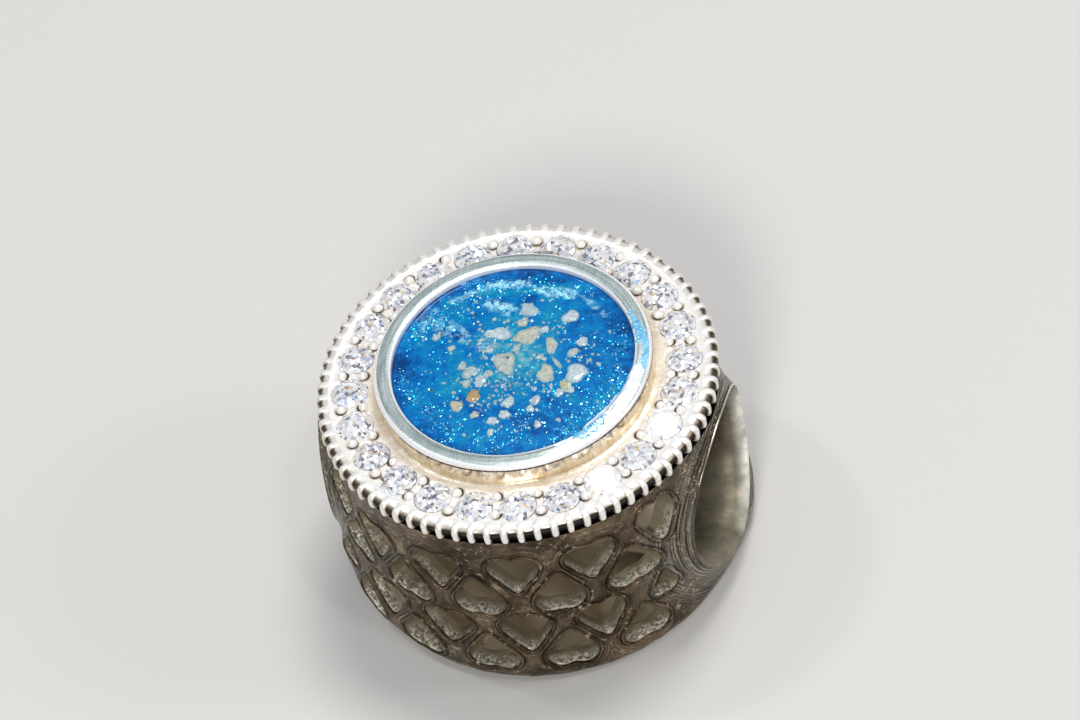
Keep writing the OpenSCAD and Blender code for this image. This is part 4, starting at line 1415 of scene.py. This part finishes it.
ash = Bag("tint", "wet")
seedn = 100
for u, v, w, h, tr, tone, rise in ASH_LIST:
    c = at_pixel(u, v, float(resin_z(0.5, 0.5)))
    ex = at_pixel(u + 1, v, float(c[2])) - c
    ey = at_pixel(u, v - 1, float(c[2])) - c
    a, b = w * np.linalg.norm(ex) / 2, h * np.linalg.norm(ey) / 2
    turn = math.atan2(ex[1], ex[0]) + math.radians(tr)
    V, F = lump(c[0], c[1], a, b, turn, rise, seedn)
    ash.add(V, F, 0, tint=np.clip(tone + rng.normal(0, 0.05, len(V)), 0, 1), wet=wet_rim(len(V), 18))
    seedn += 1
for u, v, su, sv, count, tone in GRAINS:
    for _ in range(count):
        pu, pv = u + su * 0.6 * rng.standard_normal(), v + sv * 0.6 * rng.standard_normal()
        c = at_pixel(pu, pv, float(resin_z(0.5, 0.5)))
        s = rng.uniform(0.022, 0.055)
        V, F = lump(c[0], c[1], s, s * rng.uniform(0.6, 1), rng.uniform(0, 6), 0.028, seedn, n=9)
        ash.add(V, F, 0, tint=np.clip(tone + rng.normal(0, 0.1), 0.45, 1), wet=np.clip(wet_rim(len(V), 9) + rng.uniform(0, 0.3), 0, 1))
        seedn += 1
for k in range(200):
    while True:
        a_, r_ = rng.uniform(0, 2 * math.pi), 3.2 * math.sqrt(rng.uniform(0, 1))
        x, y = r_ * math.cos(a_), r_ * math.sin(a_)
        d0 = math.hypot(x - c0[0], y - c0[1])
        if rng.uniform() < math.exp(-(d0 / 1.5) ** 2) + 0.05:
            break
    s = rng.uniform(0.025, 0.085)
    V, F = lump(x, y, s, s * rng.uniform(0.6, 1), rng.uniform(0, 6), 0.025, seedn, n=9)
    ash.add(V, F, 0, tint=np.clip(rng.choice([0.6, 0.75, 0.85, 0.95, 0.9, 0.7]) + rng.normal(0, 0.05), 0, 1), wet=np.clip(wet_rim(len(V), 9) + rng.uniform(0, 0.35), 0, 1))
    seedn += 1
ash_ob = ash.build("ash_fragments", [ASH], smooth=30)

# glitter: thin real flakes that lie in the resin's face
fl = Bag("tint")
count = 0
Pts = []
while count < 3000:
    a_, r_ = rng.uniform(0, 2 * math.pi), 3.52 * math.sqrt(rng.uniform(0, 1))
    p = np.array([[r_ * math.cos(a_), r_ * math.sin(a_), 0]])
    if rng.uniform() > glit_of(p)[0] * (0.55 + 0.9 * noise.noise(Vector((p[0, 0] * 2.6, p[0, 1] * 2.6, 3.3)))):
        continue
    Pts.append(p[0])
    count += 1
for p in Pts:
    s = rng.choice([rng.uniform(0.010, 0.022), rng.uniform(0.022, 0.040)], p=[0.72, 0.28])
    z = float(resin_z(p[0], p[1])) + 0.002
    k = 5 if rng.uniform() < 0.5 else 6
    a = np.linspace(0, 2 * np.pi, k + 1)[:-1] + rng.uniform(0, 6)
    tx, ty = rng.normal(0, 0.22, 2)
    x, y = p[0] + s * np.cos(a), p[1] + s * np.sin(a)
    zz = z + (x - p[0]) * tx + (y - p[1]) * ty
    Vt = np.c_[x, y, zz]
    Vb = np.c_[x, y, zz - 0.008]
    F = [tuple(range(k)), tuple(range(2 * k - 1, k - 1, -1))] + [(j, k + j, k + (j + 1) % k, (j + 1) % k) for j in range(k)]
    fl.add(np.vstack([Vt, Vb]), F, 0, tint=float(np.clip(rng.beta(1.6, 1.5), 0, 1)))
flakes = fl.build("glitter", [FLAKE], smooth=None)
flakes.data.polygons.foreach_set("use_smooth", np.zeros(len(flakes.data.polygons), bool))

# ---------------------------------------------------------------- film on the cup's top
film = Bag("tint")


def strip(pix, width, lift, tone, seed):
    """A thin film with wavy edges along a line of pixels on the cup's top."""
    P = np.array([at_pixel(u, v, CUP_TOP) for u, v in pix])
    s = np.r_[0, np.cumsum(np.linalg.norm(np.diff(P, axis=0), axis=1))]
    n = 110
    t_ = np.linspace(0, s[-1], n)
    C = np.c_[np.interp(t_, s, P[:, 0]), np.interp(t_, s, P[:, 1])]
    for _ in range(6):
        C[1:-1] = 0.25 * C[:-2] + 0.5 * C[1:-1] + 0.25 * C[2:]
    T_ = np.gradient(C, axis=0)
    T_ /= np.linalg.norm(T_, axis=1, keepdims=True)
    Nn = np.c_[-T_[:, 1], T_[:, 0]]
    W = np.interp(t_ / s[-1], np.linspace(0, 1, len(width)), width)
    W = W * np.sqrt(np.clip(np.minimum(t_, s[-1] - t_) / 0.22, 0.02, 1))
    wa = W * np.clip(1 + 1.1 * fract_noise(np.c_[C * 1.0, np.full(n, seed)], 6.0, 3, seed), 0.15, 2)
    wb = W * np.clip(1 + 1.1 * fract_noise(np.c_[C * 1.0, np.full(n, seed + 5)], 6.0, 3, seed + 2), 0.15, 2)
    prof_ = [(-1, 0.0), (-0.85, 0.7), (-0.5, 1.0), (0, 0.9), (0.5, 1.0), (0.85, 0.7), (1, 0.0)]
    rows = []
    for f, hgt_ in prof_:
        off = np.where(f < 0, f * wa, f * wb)
        q_ = C + Nn * off[:, None]
        rho = np.linalg.norm(q_, axis=1)
        even = rho.copy()
        for _ in range(40):
            even[1:-1] = 0.25 * even[:-2] + 0.5 * even[1:-1] + 0.25 * even[2:]
        inner = np.clip((CUP_IN + 0.08 - even) / 0.10, 0, 1)      # the edge that hangs over the resin is even
        lim = np.clip(rho * (1 - inner) + even * inner, CUP_IN - 0.20, CUP_R - 0.11)
        q_ = q_ * (lim / rho)[:, None]
        ang_ = np.arctan2(q_[:, 1], q_[:, 0])
        fall = 0.105 * np.clip(np.cos(ang_ - math.radians(-14)), 0, 1) ** 2.5 * np.clip((lim - CUP_IN - 0.06) / 0.45, 0, 1)
        on = np.clip((lim - (CUP_IN - 0.13)) / 0.17, 0, 1)       # 0 on the resin, 1 on the cup's top
        zs = (CUP_TOP - 0.003 - fall) * on + (resin_z(q_[:, 0], q_[:, 1]) + 0.03) * (1 - on)
        rows.append(np.c_[q_, zs + hgt_ * lift])
    lowrow = [r - [0, 0, 0.02] for r in (rows[0], rows[-1])]
    rows = [lowrow[0]] + rows + [lowrow[1]]
    V = np.vstack(rows)
    F = grid_faces(len(rows), n)
    m = len(rows)
    F += [(j, j + 1, (m - 1) * n + j + 1, (m - 1) * n + j) for j in range(n - 1)]
    F += [tuple(i * n for i in range(m))[::-1], tuple(i * n + n - 1 for i in range(m))]
    film.add(V, F, 0, tint=tone)


strip([(628, 309), (639, 328), (646, 348), (644, 368)], [0.05, 0.16, 0.19, 0.12], 0.010, 0.62, 1.0)
strip([(640, 362), (630, 384), (612, 404), (596, 416), (582, 425)], [0.14, 0.22, 0.19, 0.17, 0.06], 0.014, 0.10, 4.0)
strip([(606, 415), (591, 429), (572, 437)], [0.06, 0.21, 0.08], 0.022, 0.72, 7.0)
strip([(577, 435), (560, 442), (541, 446)], [0.06, 0.11, 0.04], 0.012, 0.10, 9.0)
strip([(545, 446), (528, 450), (513, 452)], [0.03, 0.045, 0.02], 0.008, 0.25, 11.0)
film_ob = film.build("resin_film", [SMEAR], smooth=40)

# ---------------------------------------------------------------- rides: each piece hangs from the root body, and the first four hide the CAD parts they stand for
for ob, node, slot in ((drum, "drum_body", "cast_silver"), (pave_ob, "pave_ring", "pave_silver"),
                       (cup, "bezel_cup", "brushed_silver"), (resin, "resin_fill", "blue_resin")):
    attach(ob, "root")
    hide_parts(node)
for ob, slot in ((stones, "clear_stone"), (ash_ob, "ash"), (flakes, "blue_resin"), (film_ob, "blue_resin")):
    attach(ob, "root")

# ---------------------------------------------------------------- floor, light, camera
S = 3.0
fv = [(-S, -S, BACK), (S, -S, BACK), (S, S, BACK), (-S, S, BACK)]
me = bpy.data.meshes.new("floor")
me.from_pydata([(x * 0.5, y * 0.5, BACK * MM) for x, y, _ in fv], [], [(0, 1, 2, 3)])
floor = bpy.data.objects.new("floor", me)
bpy.context.scene.collection.objects.link(floor)
fm, nt, b = new_mat("floor_paper")
b.inputs["Base Color"].default_value = (0.62, 0.61, 0.59, 1)
b.inputs["Roughness"].default_value = 0.85
me.materials.append(fm)

world = bpy.data.worlds.new("studio")
bpy.context.scene.world = world
world.use_nodes = True
wt = world.node_tree
bg = wt.nodes["Background"]
wz = N(wt, "ShaderNodeSeparateXYZ")
link(wt, N(wt, "ShaderNodeTexCoord").outputs["Generated"], wz.inputs[0])
sky = ramp(wt, wz.outputs[2], [(0.0, (0.26, 0.26, 0.27)), (0.45, (0.16, 0.17, 0.19)), (0.80, (0.13, 0.14, 0.16)), (0.90, (0.42, 0.45, 0.52)), (1.0, (0.60, 0.63, 0.70))])
link(wt, sky, bg.inputs["Color"])
bg.inputs["Strength"].default_value = 1.0
bpy.context.scene.view_settings.view_transform = "Standard"


def area(name, loc, size, power, color=(1, 1, 1), target=(0, 0, 0), size_y=None):
    L = bpy.data.lights.new(name, "AREA")
    L.energy = power
    L.color = color
    L.size = size
    if size_y:
        L.shape = "RECTANGLE"
        L.size_y = size_y
    o = bpy.data.objects.new(name, L)
    bpy.context.scene.collection.objects.link(o)
    o.location = loc
    o.rotation_euler = (Vector(target) - Vector(loc)).to_track_quat("-Z", "Y").to_euler()
    return o


area("key", (0.03, 0.10, 0.30), 0.10, 0.50, (1, 0.985, 0.96))
area("front", (0.045, -0.22, 0.19), 0.06, 0.42, (1, 0.98, 0.95))
area("side", (0.26, 0.06, 0.18), 0.06, 0.14, (1, 0.97, 0.93))
area("spark_a", (0.12, -0.06, 0.30), 0.02, 0.08)
area("spark_b", (-0.14, 0.02, 0.26), 0.02, 0.08)

cam = bpy.data.cameras.new("camera")
cam.lens = 200
cam.sensor_width = 36
cam.clip_start = 0.001
cam.clip_end = 10
co = bpy.data.objects.new("camera", cam)
bpy.context.scene.collection.objects.link(co)
M = Matrix.Identity(4)
for i in range(3):
    M[i][0] = CAM_R[0][i]
    M[i][1] = -CAM_R[1][i]
    M[i][2] = -CAM_R[2][i]
    M[i][3] = CAM_P[i] * MM
co.matrix_world = M
bpy.context.scene.camera = co
